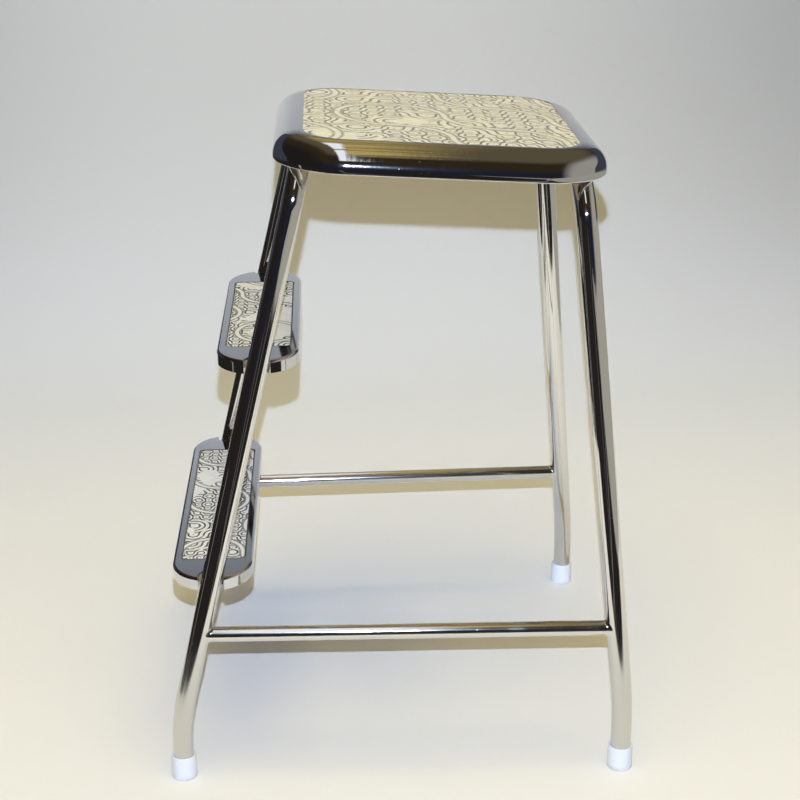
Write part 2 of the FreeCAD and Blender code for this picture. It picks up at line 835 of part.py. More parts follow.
def step_board(step):
    body = new_body(step.name.title() + "Board", step.name + "_step_board", step.place)
    top = "0 - " + RECESS_FORMULA + " - sheet_thickness"
    outline = new_sketch(body, "BoardOutline", height=top)
    inset = " - sheet_thickness - board_gap"
    stadium(outline, step.half_formula + inset, "step_width / 2" + inset)
    pad(body, "Board", outline, "step_board_thickness")
    notches = new_sketch(body, "BoardNotches", height=top)
    notch_outline(notches, step, size("board_gap") + size("sheet_thickness"))
    pocket(body, "Notches", notches, "step_board_thickness + %g" % CUT_PAST)
    holes = new_sketch(body, "ScrewHoles", height=top + " - step_board_thickness + screw_grip")
    for x, y in step_screw_spots(step):
        circle = Part.Circle(FreeCAD.Vector(x, y, 0), FreeCAD.Vector(0, 0, 1), size("screw_diameter") / 2)
        holes.addGeometry(circle, False)
    pocket(body, "ScrewPilots", holes, "screw_grip")


def leaf_top(step):
    return step.top - RECESS - size("sheet_thickness") - size("step_board_thickness")


def step_bracket(step, side):
    """A flat leaf under the board with a gusset below it, coped and brazed to the leg."""
    sign = -1 if side == "near" else 1
    name = side + step.name.title() + "Bracket"
    turn = FreeCAD.Rotation(FreeCAD.Vector(0, 0, 1), 0 if sign < 0 else 180)
    place = FreeCAD.Placement(FreeCAD.Vector(step.centre_x, sign * step.leg_y, leaf_top(step)), turn)
    leaf = doc.addObject("Part::Box", name + "Leaf")
    bind(leaf, "Length", "bracket_width")
    bind(leaf, "Width", "leg_diameter / 2 + bracket_reach")
    bind(leaf, "Height", "bracket_thickness")
    leaf.Placement = place.multiply(at_point(-size("bracket_width") / 2, 0, -size("bracket_thickness")))
    gusset = doc.addObject("Part::Wedge", name + "Gusset")
    gusset.Xmin = gusset.X2min = -size("gusset_thickness") / 2
    gusset.Xmax = gusset.X2max = size("gusset_thickness") / 2
    gusset.Ymin = 0
    gusset.Ymax = LEG_RADIUS + size("gusset_reach")
    gusset.Zmax = gusset.Z2max = 0
    gusset.Zmin = -size("gusset_drop")
    gusset.Z2min = -size("gusset_tip")
    gusset.Placement = place.multiply(at_point(0, 0, -size("bracket_thickness")))
    blank = fuse(name + "Blank", [leaf, gusset])
    coped = cut(name + "Coped", blank, step_rod)
    spots = [(step.centre_x + x, y) for x, y in step_screw_spots(step) if y * sign > 0]
    floor = leaf_top(step) - size("bracket_thickness")
    holes = clearance_holes(name, spots, floor, size("bracket_thickness"))
    return keep(cut(name, coped, holes), "%s_%s_step_bracket" % (side, step.name))


STEPS = [Step("upper"), Step("lower")]
for one in STEPS:
    step_tray(one)
    step_inlay(one)
    step_board(one)
    step_bracket(one, "near")
    step_bracket(one, "far")


def step_bracket_screws():
    screws = []
    for step in STEPS:
        for number, (x, y) in enumerate(step_screw_spots(step), start=1):
            place = at_point(step.centre_x + x, y, leaf_top(step) - size("bracket_thickness"))
            screws.append(screw("%sScrew%d" % (step.name, number), place, size("bracket_thickness")))
    return keep(compound("StepScrews", screws), "step_bracket_screws")


step_bracket_screws()

# Check every object, then write every sub-part

doc.recompute()
faults = []
for item in doc.Objects:
    if "Invalid" in item.State or "Error" in item.State:
        faults.append(item.Name + " " + str(item.State))
for piece in sub_parts:
    if piece.Shape.isNull() or not piece.Shape.isValid() or not piece.Shape.Solids:
        faults.append(piece.Label + " has no sound shape")
if faults:
    raise ValueError("; ".join(faults))
for piece in sub_parts:
    box = piece.Shape.BoundBox
    lows = (round(box.XMin, 1), round(box.YMin, 1), round(box.ZMin, 1))
    highs = (round(box.XMax, 1), round(box.YMax, 1), round(box.ZMax, 1))
    print(piece.Label, len(piece.Shape.Solids), "solids,", lows, "to", highs)
    piece.Shape.exportStep("parts/%s.step" % piece.Label)
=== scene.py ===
# %% [markdown]
# # A chrome step stool, dressed over its CAD frame
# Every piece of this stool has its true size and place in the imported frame. This lesson
# gives the pieces their looks: smooth bent tubes, a pressed seat pan, printed panels, white
# foot caps and small fittings. Each step first says what the piece is on the real object.

# %% Load the frame
import json
import math

import bpy
from mathutils import Matrix, Vector


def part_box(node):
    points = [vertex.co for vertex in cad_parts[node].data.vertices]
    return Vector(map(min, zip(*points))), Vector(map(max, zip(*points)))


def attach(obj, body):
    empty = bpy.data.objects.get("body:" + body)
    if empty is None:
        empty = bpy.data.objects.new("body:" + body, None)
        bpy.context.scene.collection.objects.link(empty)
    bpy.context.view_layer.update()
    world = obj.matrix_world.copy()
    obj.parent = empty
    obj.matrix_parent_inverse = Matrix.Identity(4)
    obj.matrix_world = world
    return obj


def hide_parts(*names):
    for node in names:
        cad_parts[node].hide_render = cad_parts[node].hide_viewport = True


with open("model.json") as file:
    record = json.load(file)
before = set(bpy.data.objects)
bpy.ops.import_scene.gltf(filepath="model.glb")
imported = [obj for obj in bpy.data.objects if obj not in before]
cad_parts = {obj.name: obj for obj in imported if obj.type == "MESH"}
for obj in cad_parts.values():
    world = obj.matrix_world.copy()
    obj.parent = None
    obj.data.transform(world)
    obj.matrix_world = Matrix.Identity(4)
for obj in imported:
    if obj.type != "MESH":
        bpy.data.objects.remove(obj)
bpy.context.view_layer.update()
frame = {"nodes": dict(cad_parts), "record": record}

MM = 0.001
print("frame nodes:", len(frame["nodes"]))

# %% [markdown]
# ## Node trees as sums
# Materials and Geometry Nodes are graphs, and long ones are hard to read as lists of links.
# A small class wraps one socket, so that Python's own operators add the Math nodes. Every
# other node comes from one method that sets its settings first and its sockets after.

# %% Two helpers for node trees
class Value:
    """One socket of a node tree, which Python's operators work on."""

    def __init__(self, tree, socket):
        self.tree = tree
        self.socket = socket

    def output(self, name):
        return Value(self.tree, self.socket.node.outputs[name])

    def math(self, operation, *rest):
        return self.tree.node("ShaderNodeMath", {"operation": operation}, [self, *rest])

    def __add__(self, other):
        return self.math("ADD", other)

    def __sub__(self, other):
        return self.math("SUBTRACT", other)

    def __mul__(self, other):
        return self.math("MULTIPLY", other)

    def __truediv__(self, other):
        return self.math("DIVIDE", other)

    def __rsub__(self, other):
        return self.tree.node("ShaderNodeMath", {"operation": "SUBTRACT"}, [other, self])

    __radd__ = __add__
    __rmul__ = __mul__


class Tree:
    """A node tree whose nodes are made one call at a time."""

    def __init__(self, tree):
        self.tree = tree

    def node(self, kind, settings=None, inputs=None, output=0):
        node = self.tree.nodes.new(kind)
        for name, value in (settings or {}).items():
            setattr(node, name, value)
        if isinstance(inputs, list):
            inputs = dict(enumerate(inputs))
        for name, value in (inputs or {}).items():
            self.feed(node.inputs[name], value)
        return Value(self, node.outputs[output]) if node.outputs else node

    def feed(self, socket, value):
        if isinstance(value, Value):
            self.tree.links.new(value.socket, socket)
        else:
            socket.default_value = value

    def mix(self, factor, first, second):
        """Two colours, mixed."""
        pair = [c if isinstance(c, Value) else (*c, 1.0) for c in (first, second)]
        inputs = {0: factor, 6: pair[0], 7: pair[1]}
        return self.node("ShaderNodeMix", {"data_type": "RGBA"}, inputs, output=2)

    def ease(self, value, low, high):
        """Nought below the low value, one above the high one, smooth between."""
        settings = {"interpolation_type": "SMOOTHSTEP"}
        inputs = {"Value": value, "From Min": low, "From Max": high}
        return self.node("ShaderNodeMapRange", settings, inputs)

    def noise(self, place, scale, detail=3.0, stretch=(1, 1, 1)):
        """Cloudy noise on a place, stretched along its axes."""
        spread = self.node("ShaderNodeVectorMath", {"operation": "MULTIPLY"}, [place, stretch])
        inputs = {"Vector": spread, "Scale": scale, "Detail": detail}
        return self.node("ShaderNodeTexNoise", None, inputs)


def new_material(name):
    """A material with a Principled shader, its tree, and the object's coordinates."""
    material = bpy.data.materials.new(name)
    material.use_nodes = True
    tree = Tree(material.node_tree)
    shader = material.node_tree.nodes["Principled BSDF"]
    place = tree.node("ShaderNodeTexCoord", output="Object")
    return material, tree, shader, place


def set_shader(tree, shader, **values):
    """Sets or links sockets of a shader by their names, with underscores for spaces."""
    for name, value in values.items():
        tree.feed(shader.inputs[name.replace("_", " ").title()], value)


def bump(tree, shader, height, strength, distance):
    inputs = {"Strength": strength, "Distance": distance, "Height": height}
    normal = tree.node("ShaderNodeBump", None, inputs)
    tree.feed(shader.inputs["Normal"], normal)


# %% [markdown]
# ## Bright chrome
# Chrome plate is a mirror, so its look is mostly what it reflects. What makes it real is
# what is wrong with it: finger smears that dull it in patches, a faint wave left by the
# polishing wheel, fine scratches, and tiny dark pits. Near the floor, where shoes scuff it,
# it is duller. Smears, scratches and pits go to roughness, pits and scuffs to colour too,
# and the wave goes to a very weak bump. A pair of numbers is the range over which a mask
# changes.

# %% Chrome
TUBE_CHROME = (0.80, 0.80, 0.79)
# Pan and tray chrome are darker and bluer than the tube chrome: partly their own tint, and partly painted
# shade that dims and blues what they reflect.
PAN_CHROME_PAINTED_SHADE = (0.69, 0.70, 0.73)
TRAY_CHROME_PAINTED_SHADE = (0.70, 0.72, 0.77)
SCUFFED_CHROME = (0.60, 0.60, 0.58)
PITTED_CHROME = (0.30, 0.27, 0.22)
SCUFFED_HEIGHT = (0.06, 0.24)
SMEARED = (0.52, 0.75)
PIT_EDGE = (0.05, 0.09)
PITS_PER_METRE = 200.0
PITTED = (0.50, 0.62)
SCRATCH_SCALE = 700.0
SCRATCH_STRETCH = (1.0, 1.0, 0.04)
RIPPLE_SCALE = 260.0
RIPPLE_STRETCH = (1.0, 1.0, 0.3)
POLISHED = 0.035


def chrome(name, tint, smear_scale, wave_scale, wave_depth, ripple):
    """Chrome plate; ripple is the share of fine unevenness in its wave."""
    material, tree, shader, place = new_material(name)
    smear = tree.ease(tree.noise(place, smear_scale, 5.0), *SMEARED)
    scratch = tree.noise(place, SCRATCH_SCALE, 2.0, SCRATCH_STRETCH)
    speck_inputs = {"Vector": place, "Scale": PITS_PER_METRE}
    speck = tree.node("ShaderNodeTexVoronoi", None, speck_inputs, "Distance")
    pit = 1.0 - tree.ease(speck, *PIT_EDGE)
    worn = tree.ease(tree.noise(place, 12.0), *PITTED)
    low = 1.0 - tree.ease(place_z(tree, place), *SCUFFED_HEIGHT)
    scuffed = tree.mix(low * 0.75, tint, SCUFFED_CHROME)
    colour = tree.mix(pit * worn * 0.6, scuffed, PITTED_CHROME)
    rough = smear * 0.07 + scratch * 0.03 + low * 0.08 + pit * worn * 0.30 + POLISHED
    set_shader(tree, shader, base_color=colour, metallic=1.0, roughness=rough)
    wave = tree.noise(place, wave_scale, 1.0)
    fine = tree.noise(place, RIPPLE_SCALE, 2.0, RIPPLE_STRETCH)
    bump(tree, shader, wave + fine * ripple, 0.5, wave_depth)
    return material


def place_z(tree, place):
    return tree.node("ShaderNodeSeparateXYZ", None, [place], "Z")


tube_chrome = chrome(
    "tube chrome", TUBE_CHROME, smear_scale=22.0, wave_scale=60.0, wave_depth=0.04 * MM, ripple=0.05)
# The pan and tray chrome carry painted shade in their darker, bluer tint.
pan_chrome_painted_shade = chrome(
    "pan chrome with painted shade", PAN_CHROME_PAINTED_SHADE, smear_scale=14.0, wave_scale=38.0, wave_depth=0.14 * MM, ripple=0.40)
tray_chrome_painted_shade = chrome(
    "tray chrome with painted shade", TRAY_CHROME_PAINTED_SHADE, smear_scale=18.0, wave_scale=45.0, wave_depth=0.08 * MM, ripple=0.10)
print("chrome:", [m.name for m in (tube_chrome, pan_chrome_painted_shade, tray_chrome_painted_shade)])

# %% [markdown]
# ## Printed laminate
# The seat and the steps carry panels of glossy laminate with fine dark lines printed on a
# pale ground, which the warm lamp turns to cream. Here the print is a plain geometric one:
# quarter rings in square tiles, turned at random, which join into winding lines. The print
# is worked out from the object's own coordinates, so it needs no picture.

# %% Rings in random tiles
LINE_EDGE = (0.35, 0.65)


def ring_lines(tree, x, y, tile, rings, line, seed):
    """One on a printed line and nought beside it, for square tiles with that many rings."""
    column = (x / tile).math("FLOOR")
    row = (y / tile).math("FLOOR")
    corner = tree.node("ShaderNodeCombineXYZ", None, [column, row, seed])
    chance = tree.node("ShaderNodeTexWhiteNoise", {"noise_dimensions": "3D"}, {"Vector": corner}, "Value")
    turned = chance.math("GREATER_THAN", 0.5)
    across = x / tile - column
    across = across + turned * (1.0 - 2.0 * across)
    along = y / tile - row
    first = (across * across + along * along).math("SQRT")
    across_back = 1.0 - across
    along_back = 1.0 - along
    second = (across_back * across_back + along_back * along_back).math("SQRT")
    reach = first.math("MINIMUM", second)
    beside = ((reach * rings).math("FRACT") - 0.5).math("ABSOLUTE")
    gap = (0.5 - beside) * (tile / rings)
    inside = 1.0 - tree.ease(gap, line * LINE_EDGE[0], line * LINE_EDGE[1])
    return inside * reach.math("GREATER_THAN", 0.5 / rings)


# %% [markdown]
# The rings are used at three sizes: open ones, finer ones in tiles of half the size, and
# wide pale bands with a dark line on each side, which cross the rest. A slow noise says
# where the print is bare, open or dense, so these fields have soft shapes. The ink thins
# out in places, and the ground under it is a little darker in others. Wear shows as a hazy
# gloss, more than as colour, so a soft noise feeds the roughness.

# %% Laminate
FIELD_SCALE = 14.0
FIELD_EDGE = 0.008
OPEN_RINGS = 4
FINE_RINGS = 3
BAND_RINGS = 2
BAND_TILES = 3
BAND_INK = 0.8
THINNEST_INK = 0.80
DARKER_GROUND = 0.93
HAZY = (0.45, 0.75)


def laminate(name, paper, ink, tile, line, bare, dense, seed):
    """A printed panel; the slow noise passes bare where lines begin, and dense where fine ones do."""
    material, tree, shader, place = new_material(name)
    x = tree.node("ShaderNodeSeparateXYZ", None, [place], "X")
    y = x.output("Y")
    open_lines = ring_lines(tree, x, y, tile, OPEN_RINGS, line, seed)
    fine_lines = ring_lines(tree, x, y, tile / 2, FINE_RINGS, line * 0.8, seed + 1)
    flat_place = tree.node("ShaderNodeCombineXYZ", None, [x, y, seed])
    field = tree.noise(flat_place, FIELD_SCALE, 2.0)
    printed = tree.ease(field, bare, bare + FIELD_EDGE)
    packed = tree.ease(field, dense, dense + FIELD_EDGE)
    pale_band = ring_lines(tree, x, y, tile * BAND_TILES, BAND_RINGS, line * 2.0, seed + 2)
    whole_band = ring_lines(tree, x, y, tile * BAND_TILES, BAND_RINGS, line * 4.0, seed + 2)
    rings = printed * (open_lines + packed * (fine_lines - open_lines))
    lines = rings * (1.0 - whole_band) + (whole_band - pale_band) * BAND_INK
    ink_strength = THINNEST_INK + tree.noise(place, 130.0) * 0.3
    darker = [c * DARKER_GROUND for c in paper]
    ground = tree.mix(tree.noise(place, 16.0) * 0.5, paper, darker)
    colour = tree.mix(lines * ink_strength, ground, ink)
    haze = tree.ease(tree.noise(place, 30.0, 5.0), *HAZY)
    rough = 0.24 + haze * 0.14
    set_shader(tree, shader, base_color=colour, roughness=rough)
    shader.inputs["Specular IOR Level"].default_value = 0.45
    bump(tree, shader, tree.noise(place, 420.0), 0.15, 0.00002)
    return material


STEP_PAPER = (0.97, 0.99, 1.0)
SEAT_PAPER = (0.94, 0.98, 1.0)
STEP_INK = (0.012, 0.012, 0.014)
SEAT_INK = (0.20, 0.21, 0.23)
step_laminate = laminate(
    "step laminate", STEP_PAPER, STEP_INK, tile=20 * MM, line=1.8 * MM, bare=0.44, dense=0.53, seed=3)
seat_laminate = laminate(
    "seat laminate", SEAT_PAPER, SEAT_INK, tile=34 * MM, line=2.6 * MM, bare=0.36, dense=0.50, seed=7)
print("laminate:", step_laminate.name, seat_laminate.name)

# %% [markdown]
# ## White caps, boards and plain steel
# The caps are moulded in a slightly blue-white plastic with a satin face and grime where
# they meet the floor. The boards under the panels are pressed wood chips. Brackets, clips
# and screws are zinc plated steel, which is grey and a little cloudy. Brackets and clips
# are brushed one way too.

# %% Plastic
CAP_WHITE = (0.86, 0.88, 0.94)
CAP_CLOUD = (0.80, 0.83, 0.90)
CAP_GRIME = (0.50, 0.47, 0.42)
GRIME_HEIGHT = (0.0005, 0.006)
GRIMY = (0.35, 0.65)


def cap_plastic():
    material, tree, shader, place = new_material("white cap plastic")
    low = 1.0 - tree.ease(place_z(tree, place), *GRIME_HEIGHT)
    grime = low * tree.ease(tree.noise(place, 90.0), *GRIMY)
    cloudy = tree.mix(tree.noise(place, 50.0), CAP_WHITE, CAP_CLOUD)
    colour = tree.mix(grime * 0.5, cloudy, CAP_GRIME)
    set_shader(tree, shader, base_color=colour, roughness=0.38 + tree.noise(place, 300.0) * 0.15)
    bump(tree, shader, tree.noise(place, 900.0), 0.2, 0.00003)
    return material


white_plastic = cap_plastic()


# %% Pressed wood chips
DARK_CHIP = (0.30, 0.20, 0.11)
LIGHT_CHIP = (0.62, 0.47, 0.30)
CHIPS_PER_METRE = 420.0


def chip_board():
    material, tree, shader, place = new_material("chip board")
    inputs = {"Vector": place, "Scale": CHIPS_PER_METRE}
    chips = tree.node("ShaderNodeTexVoronoi", None, inputs, "Color")
    tone = tree.node("ShaderNodeSeparateColor", None, [chips])
    grain = tree.noise(place, 260.0, 4.0, (1.0, 0.25, 1.0))
    colour = tree.mix(tone * 0.6 + grain * 0.4, DARK_CHIP, LIGHT_CHIP)
    set_shader(tree, shader, base_color=colour, roughness=0.78 + tone * 0.1)
    bump(tree, shader, tone + grain, 0.4, 0.0002)
    return material


board_wood = chip_board()


# %% Zinc plated steel
BRACKET_ZINC = (0.60, 0.61, 0.62)
SCREW_ZINC = (0.52, 0.51, 0.48)
BRUSHED_ALONG_Y = (1.0, 0.06, 1.0)
NOT_BRUSHED = (1.0, 1.0, 1.0)


def zinc_steel(name, tone, brush):
    """Plated steel whose fine noise is stretched along the way it was brushed."""
    material, tree, shader, place = new_material(name)
    cloud = tree.noise(place, 40.0, 3.0)
    brushed = tree.noise(place, 500.0, 2.0, brush)
    colour = tree.mix(cloud, [c * 0.82 for c in tone], tone)
    set_shader(tree, shader, base_color=colour, metallic=1.0, roughness=0.26 + brushed * 0.16)
    bump(tree, shader, brushed, 0.25, 0.00003)
    return material


bracket_steel = zinc_steel("bracket steel", BRACKET_ZINC, BRUSHED_ALONG_Y)
screw_steel = zinc_steel("screw steel", SCREW_ZINC, NOT_BRUSHED)
print("fittings:", bracket_steel.name, screw_steel.name)

# %% [markdown]
# ## Sizes from the frame
# The tubes' corners can be read from the boxes of their CAD nodes, because a tube's axis
# lies one radius inside its box. The seat's tilt and height come from the mount on top of
# it. Only sizes that no box shows are written as numbers.

# %% Legs and seat
LEG_RADIUS = 9.75 * MM
CREST_BEND = 50 * MM
STEP_CREST_HALF_SPAN = 118.25 * MM
STEP_FOOT_CORNER_HEIGHT = 62 * MM
BACK_CREST_HALF_SPAN = 132.25 * MM
BACK_FOOT_CORNER_HEIGHT = 70 * MM
INLAY_SET_DOWN = 0.2 * MM


def leg_corners(node, side, crest_half_span, foot_corner_height):
    """The corners and end of a U tube's far leg; side is the way its feet point in X."""
    low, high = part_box(node)
    crest_x = high.x - LEG_RADIUS if side < 0 else low.x + LEG_RADIUS
    foot_x = low.x + LEG_RADIUS if side < 0 else high.x - LEG_RADIUS
    crest = Vector((crest_x, crest_half_span, high.z - LEG_RADIUS))
    foot = Vector((foot_x, high.y - LEG_RADIUS, foot_corner_height))
    bottom = Vector((foot.x, foot.y, low.z))
    return crest, foot, bottom


STEP_LEG = leg_corners("step_side_frame_tube", -1, STEP_CREST_HALF_SPAN, STEP_FOOT_CORNER_HEIGHT)
BACK_LEG = leg_corners("back_frame_tube", 1, BACK_CREST_HALF_SPAN, BACK_FOOT_CORNER_HEIGHT)
mounts = {mount["name"]: mount for mount in frame["record"]["mounts"]}
SEAT_NORMAL = Vector(mounts["seat_top"]["axis"]).normalized()
SEAT_ORIGIN = Vector(mounts["seat_top"]["pos_m"]) + SEAT_NORMAL * INLAY_SET_DOWN
SEAT_TILT = math.atan2(SEAT_NORMAL.x, SEAT_NORMAL.z)
SEAT_PLACE = Matrix.Translation(SEAT_ORIGIN) @ Matrix.Rotation(SEAT_TILT, 4, "Y")
print("seat origin:", [round(c, 4) for c in SEAT_ORIGIN], "tilt:", round(math.degrees(SEAT_TILT), 2))

# %% [markdown]
# ## Geometry Nodes in three calls
# A tree starts with named inputs, ends in Realize Instances and Set Material, and is run
# once on a carrier object. The result is copied out as a plain mesh, so that nothing
# procedural is left on the finished piece.

# %% Helpers for Geometry Nodes
def geometry_tree(name, sockets):
    """A new tree with a geometry input and named number inputs."""
    group = bpy.data.node_groups.new(name, "GeometryNodeTree")
    group.interface.new_socket("Geometry", in_out="INPUT", socket_type="NodeSocketGeometry")
    for socket, kind in sockets.items():
        group.interface.new_socket(socket, in_out="INPUT", socket_type=kind)
    group.interface.new_socket("Geometry", in_out="OUTPUT", socket_type="NodeSocketGeometry")
    tree = Tree(group)
    return tree, tree.node("NodeGroupInput", output="Geometry")


def end_tree(tree, geometry, material):
    real = tree.node("GeometryNodeRealizeInstances", None, [geometry])
    made = tree.node("GeometryNodeSetMaterial", None, {"Geometry": real, "Material": material})
    tree.node("NodeGroupOutput", None, [made])


def run_tree(tree, carrier_mesh, values, name):
    """Runs a tree on a carrier mesh and gives back a plain object at the origin."""
    carrier = bpy.data.objects.new(name + " carrier", carrier_mesh)
    bpy.context.scene.collection.objects.link(carrier)
    modifier = carrier.modifiers.new("Nodes", "NODES")
    modifier.node_group = tree.tree
    for item in tree.tree.interface.items_tree:
        if item.in_out == "INPUT" and item.name in values:
            modifier[item.identifier] = values[item.name]
    graph = bpy.context.evaluated_depsgraph_get()
    mesh = bpy.data.meshes.new_from_object(carrier.evaluated_get(graph))
    bpy.data.objects.remove(carrier)
    mesh.name = name
    return add_object(name, mesh)


def add_object(name, mesh):
    piece = bpy.data.objects.new(name, mesh)
    bpy.context.scene.collection.objects.link(piece)
    return piece


def finish_piece(piece, slot, *nodes):
    """The piece takes its place on the one rigid body and stands for its CAD nodes."""
    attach(piece, "root")
    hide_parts(*nodes)
    print(piece.name, len(piece.data.polygons), "faces for", ", ".join(nodes))


# %% [markdown]
# ## Bent frame tubes
# The frame is two tubes, each bent four times into a wide U that stands upside down. A
# maker bends a straight tube round a former, so the path is straight runs joined by round
# arcs. The path could be a Bezier curve, but its bends wouldn't be true arcs. Here the path
# is worked out corner by corner, with one extra ring just before and after each arc, which
# keeps the long straight runs' shading clean. Geometry Nodes then sweep a circle along it.

# %% A path of runs and arcs
ARC_STEPS = 26
GUARD = 1.5 * MM


def bent_path(points, radii):
    path = [points[0]]
    for before, corner, after, radius in zip(points, points[1:], points[2:], radii):
        back = (before - corner).normalized()
        ahead = (after - corner).normalized()
        half = back.angle(ahead) / 2
        tangent = radius / math.tan(half)
        centre = corner + (back + ahead).normalized() * (radius / math.sin(half))
        first = corner + back * tangent - centre
        last = corner + ahead * tangent - centre
        axis = first.cross(last).normalized()
        turn = first.angle(last)
        path.append(centre + first + back * GUARD)
        for step in range(ARC_STEPS + 1):
            path.append(centre + Matrix.Rotation(turn * step / ARC_STEPS, 3, axis) @ first)
        path.append(centre + last + ahead * GUARD)
    path.append(points[-1])
    return path


def u_path(leg, foot_bend):
    """The whole U of a frame tube, from its near end over the crest to its far end."""
    near = [Vector((p.x, -p.y, p.z)) for p in (leg[2], leg[1], leg[0])]
    return bent_path(near + list(leg), [foot_bend, CREST_BEND, CREST_BEND, foot_bend])


# %% Sweep the frame tubes
sweep, path_in = geometry_tree("sweep a tube", {"Radius": "NodeSocketFloat", "Sides": "NodeSocketInt"})
curve = sweep.node("GeometryNodeMeshToCurve", None, [path_in])
ring_inputs = {"Radius": path_in.output("Radius"), "Resolution": path_in.output("Sides")}
ring = sweep.node("GeometryNodeCurvePrimitiveCircle", None, ring_inputs)
swept_inputs = {"Curve": curve, "Profile Curve": ring, "Fill Caps": True}
swept = sweep.node("GeometryNodeCurveToMesh", None, swept_inputs)
end_tree(sweep, sweep.node("GeometryNodeSetShadeSmooth", None, [swept]), tube_chrome)


STEP_FOOT_BEND = 240 * MM
BACK_FOOT_BEND = 400 * MM
LEG_SIDES = 64
CUT_END_ANGLE = 40


def swept_tube(name, path):
    line = bpy.data.meshes.new(name + " path")
    line.from_pydata(path, [(k, k + 1) for k in range(len(path) - 1)], [])
    piece = run_tree(sweep, line, {"Radius": LEG_RADIUS, "Sides": LEG_SIDES}, name)
    piece.data.set_sharp_from_angle(angle=math.radians(CUT_END_ANGLE))
    return piece


step_tube = swept_tube("step_side_u_tube", u_path(STEP_LEG, STEP_FOOT_BEND))
finish_piece(step_tube, "chrome_tube", "step_side_frame_tube")
back_tube = swept_tube("back_u_tube", u_path(BACK_LEG, BACK_FOOT_BEND))
finish_piece(back_tube, "chrome_tube", "back_frame_tube")

# %% [markdown]
# ## Skins of rings
# Most other pieces are a stack of closed outlines with the same number of points: a lathe
# profile is a stack of circles, and a pressed pan is a stack of rounded rectangles. One
# helper joins such a stack into a closed skin with both ends filled.

# %% Ring helpers
def skin(name, rings, material, sharp=35.0):
    """Joins rings into a closed mesh; rings run anticlockwise, seen from the last one."""
    count = len(rings[0])
    points = [point for ring in rings for point in ring]
    faces = [tuple(reversed(range(count)))]
    for level in range(len(rings) - 1):
        for k in range(count):
            after = (k + 1) % count
            base = level * count
            faces.append((base + k, base + after, base + count + after, base + count + k))
    top = (len(rings) - 1) * count
    faces.append(tuple(range(top, top + count)))
    mesh = bpy.data.meshes.new(name)
    mesh.from_pydata(points, [], faces)
    mesh.materials.append(material)
    mesh.shade_smooth()
    mesh.set_sharp_from_angle(angle=math.radians(sharp))
    return mesh


def circle(radius, z, count):
    turns = [2 * math.pi * k / count for k in range(count)]
    return [Vector((radius * math.cos(t), radius * math.sin(t), z)) for t in turns]


CORNER_STEPS = 18


def rounded_rectangle(half_x, half_y, corner, z):
    """A centred outline with round corners, anticlockwise from above."""
    ring = []
    signs = ((1, 1), (-1, 1), (-1, -1), (1, -1))
    for quarter, (sign_x, sign_y) in enumerate(signs):
        for step in range(CORNER_STEPS + 1):
            turn = math.pi / 2 * (quarter + step / CORNER_STEPS)
            x = sign_x * (half_x - corner) + corner * math.cos(turn)
            y = sign_y * (half_y - corner) + corner * math.sin(turn)
            ring.append(Vector((x, y, z)))
    return ring


def arc(centre, radius, first, last, steps):
    """Points on an arc in a profile's plane, from one angle in degrees to another."""
    points = []
    for step in range(steps + 1):
        turn = math.radians(first + (last - first) * step / steps)
        points.append((centre[0] + radius * math.cos(turn), centre[1] + radius * math.sin(turn)))
    return points


# %% [markdown]
# ## Pressed seat pan
# The seat is one sheet of chromed steel, pressed to a shallow recess for the panel. Its
# border rolls over a wide shoulder and turns straight down, and the edge is curled inwards
# into a bead that is safe to hold. A box with a bevel would miss this section, so
# the skin is drawn as one closed profile: recess, border, shoulder, side, bead and inside.

# %% Seat pan
SEAT_HALF = (151 * MM, 152 * MM)
SEAT_CORNER = 65 * MM

# The section's sizes are in millimetres and its angles in degrees.
SEAT_BORDER = 26.5
SHOULDER_RADIUS = 33.0
SHOULDER_ANGLE = 22.0
TUCK_ANGLE = 3.6
BEAD_RADIUS = 1.8
SHEET = 1.2
RECESS = 1.4
PRESSED_EDGE = 0.5


def pan_profile():
    """The pan's section as inset from the edge and height, in millimetres."""
    lean = math.radians(SHOULDER_ANGLE)
    side_radius = (SEAT_BORDER - SHOULDER_RADIUS * math.sin(lean)) / (1 - math.sin(lean))
    top = (-SEAT_BORDER, -SHOULDER_RADIUS)
    side_z = -SHOULDER_RADIUS * (1 - math.cos(lean)) - side_radius * math.cos(lean)
    side = (-side_radius, side_z)
    shoulder = 90 - SHOULDER_ANGLE
    tuck = math.radians(TUCK_ANGLE)
    bead_reach = side_radius - BEAD_RADIUS
    bead = (side[0] + bead_reach * math.cos(tuck), side[1] - bead_reach * math.sin(tuck))
    rise = math.sqrt(BEAD_RADIUS ** 2 - (BEAD_RADIUS - SHEET) ** 2)
    bead_end = math.degrees(math.atan2(rise, BEAD_RADIUS - SHEET))
    inner_start = math.degrees(rise / (side_radius - SHEET)) - TUCK_ANGLE
    wall = -SEAT_BORDER
    profile = [(wall, -RECESS)]
    profile += arc((wall + PRESSED_EDGE, -PRESSED_EDGE), PRESSED_EDGE, 180, 90, 5)
    profile += arc(top, SHOULDER_RADIUS, 89, shoulder, 12)
    profile += arc(side, side_radius, shoulder, -TUCK_ANGLE, 34)[1:]
    profile += arc(bead, BEAD_RADIUS, -TUCK_ANGLE, bead_end - TUCK_ANGLE - 360, 26)[1:]
    profile += arc(side, side_radius - SHEET, inner_start, shoulder, 20)
    profile += arc(top, SHOULDER_RADIUS - SHEET, shoulder, 88, 8)[1:]
    profile.append((wall + SHEET, -RECESS - SHEET))
    return [(-x * MM, z * MM) for x, z in profile]


def inset_ring(half, corner, inset, z):
    return rounded_rectangle(half[0] - inset, half[1] - inset, corner - inset, z)


def on_seat(ring):
    return [SEAT_PLACE @ point for point in ring]


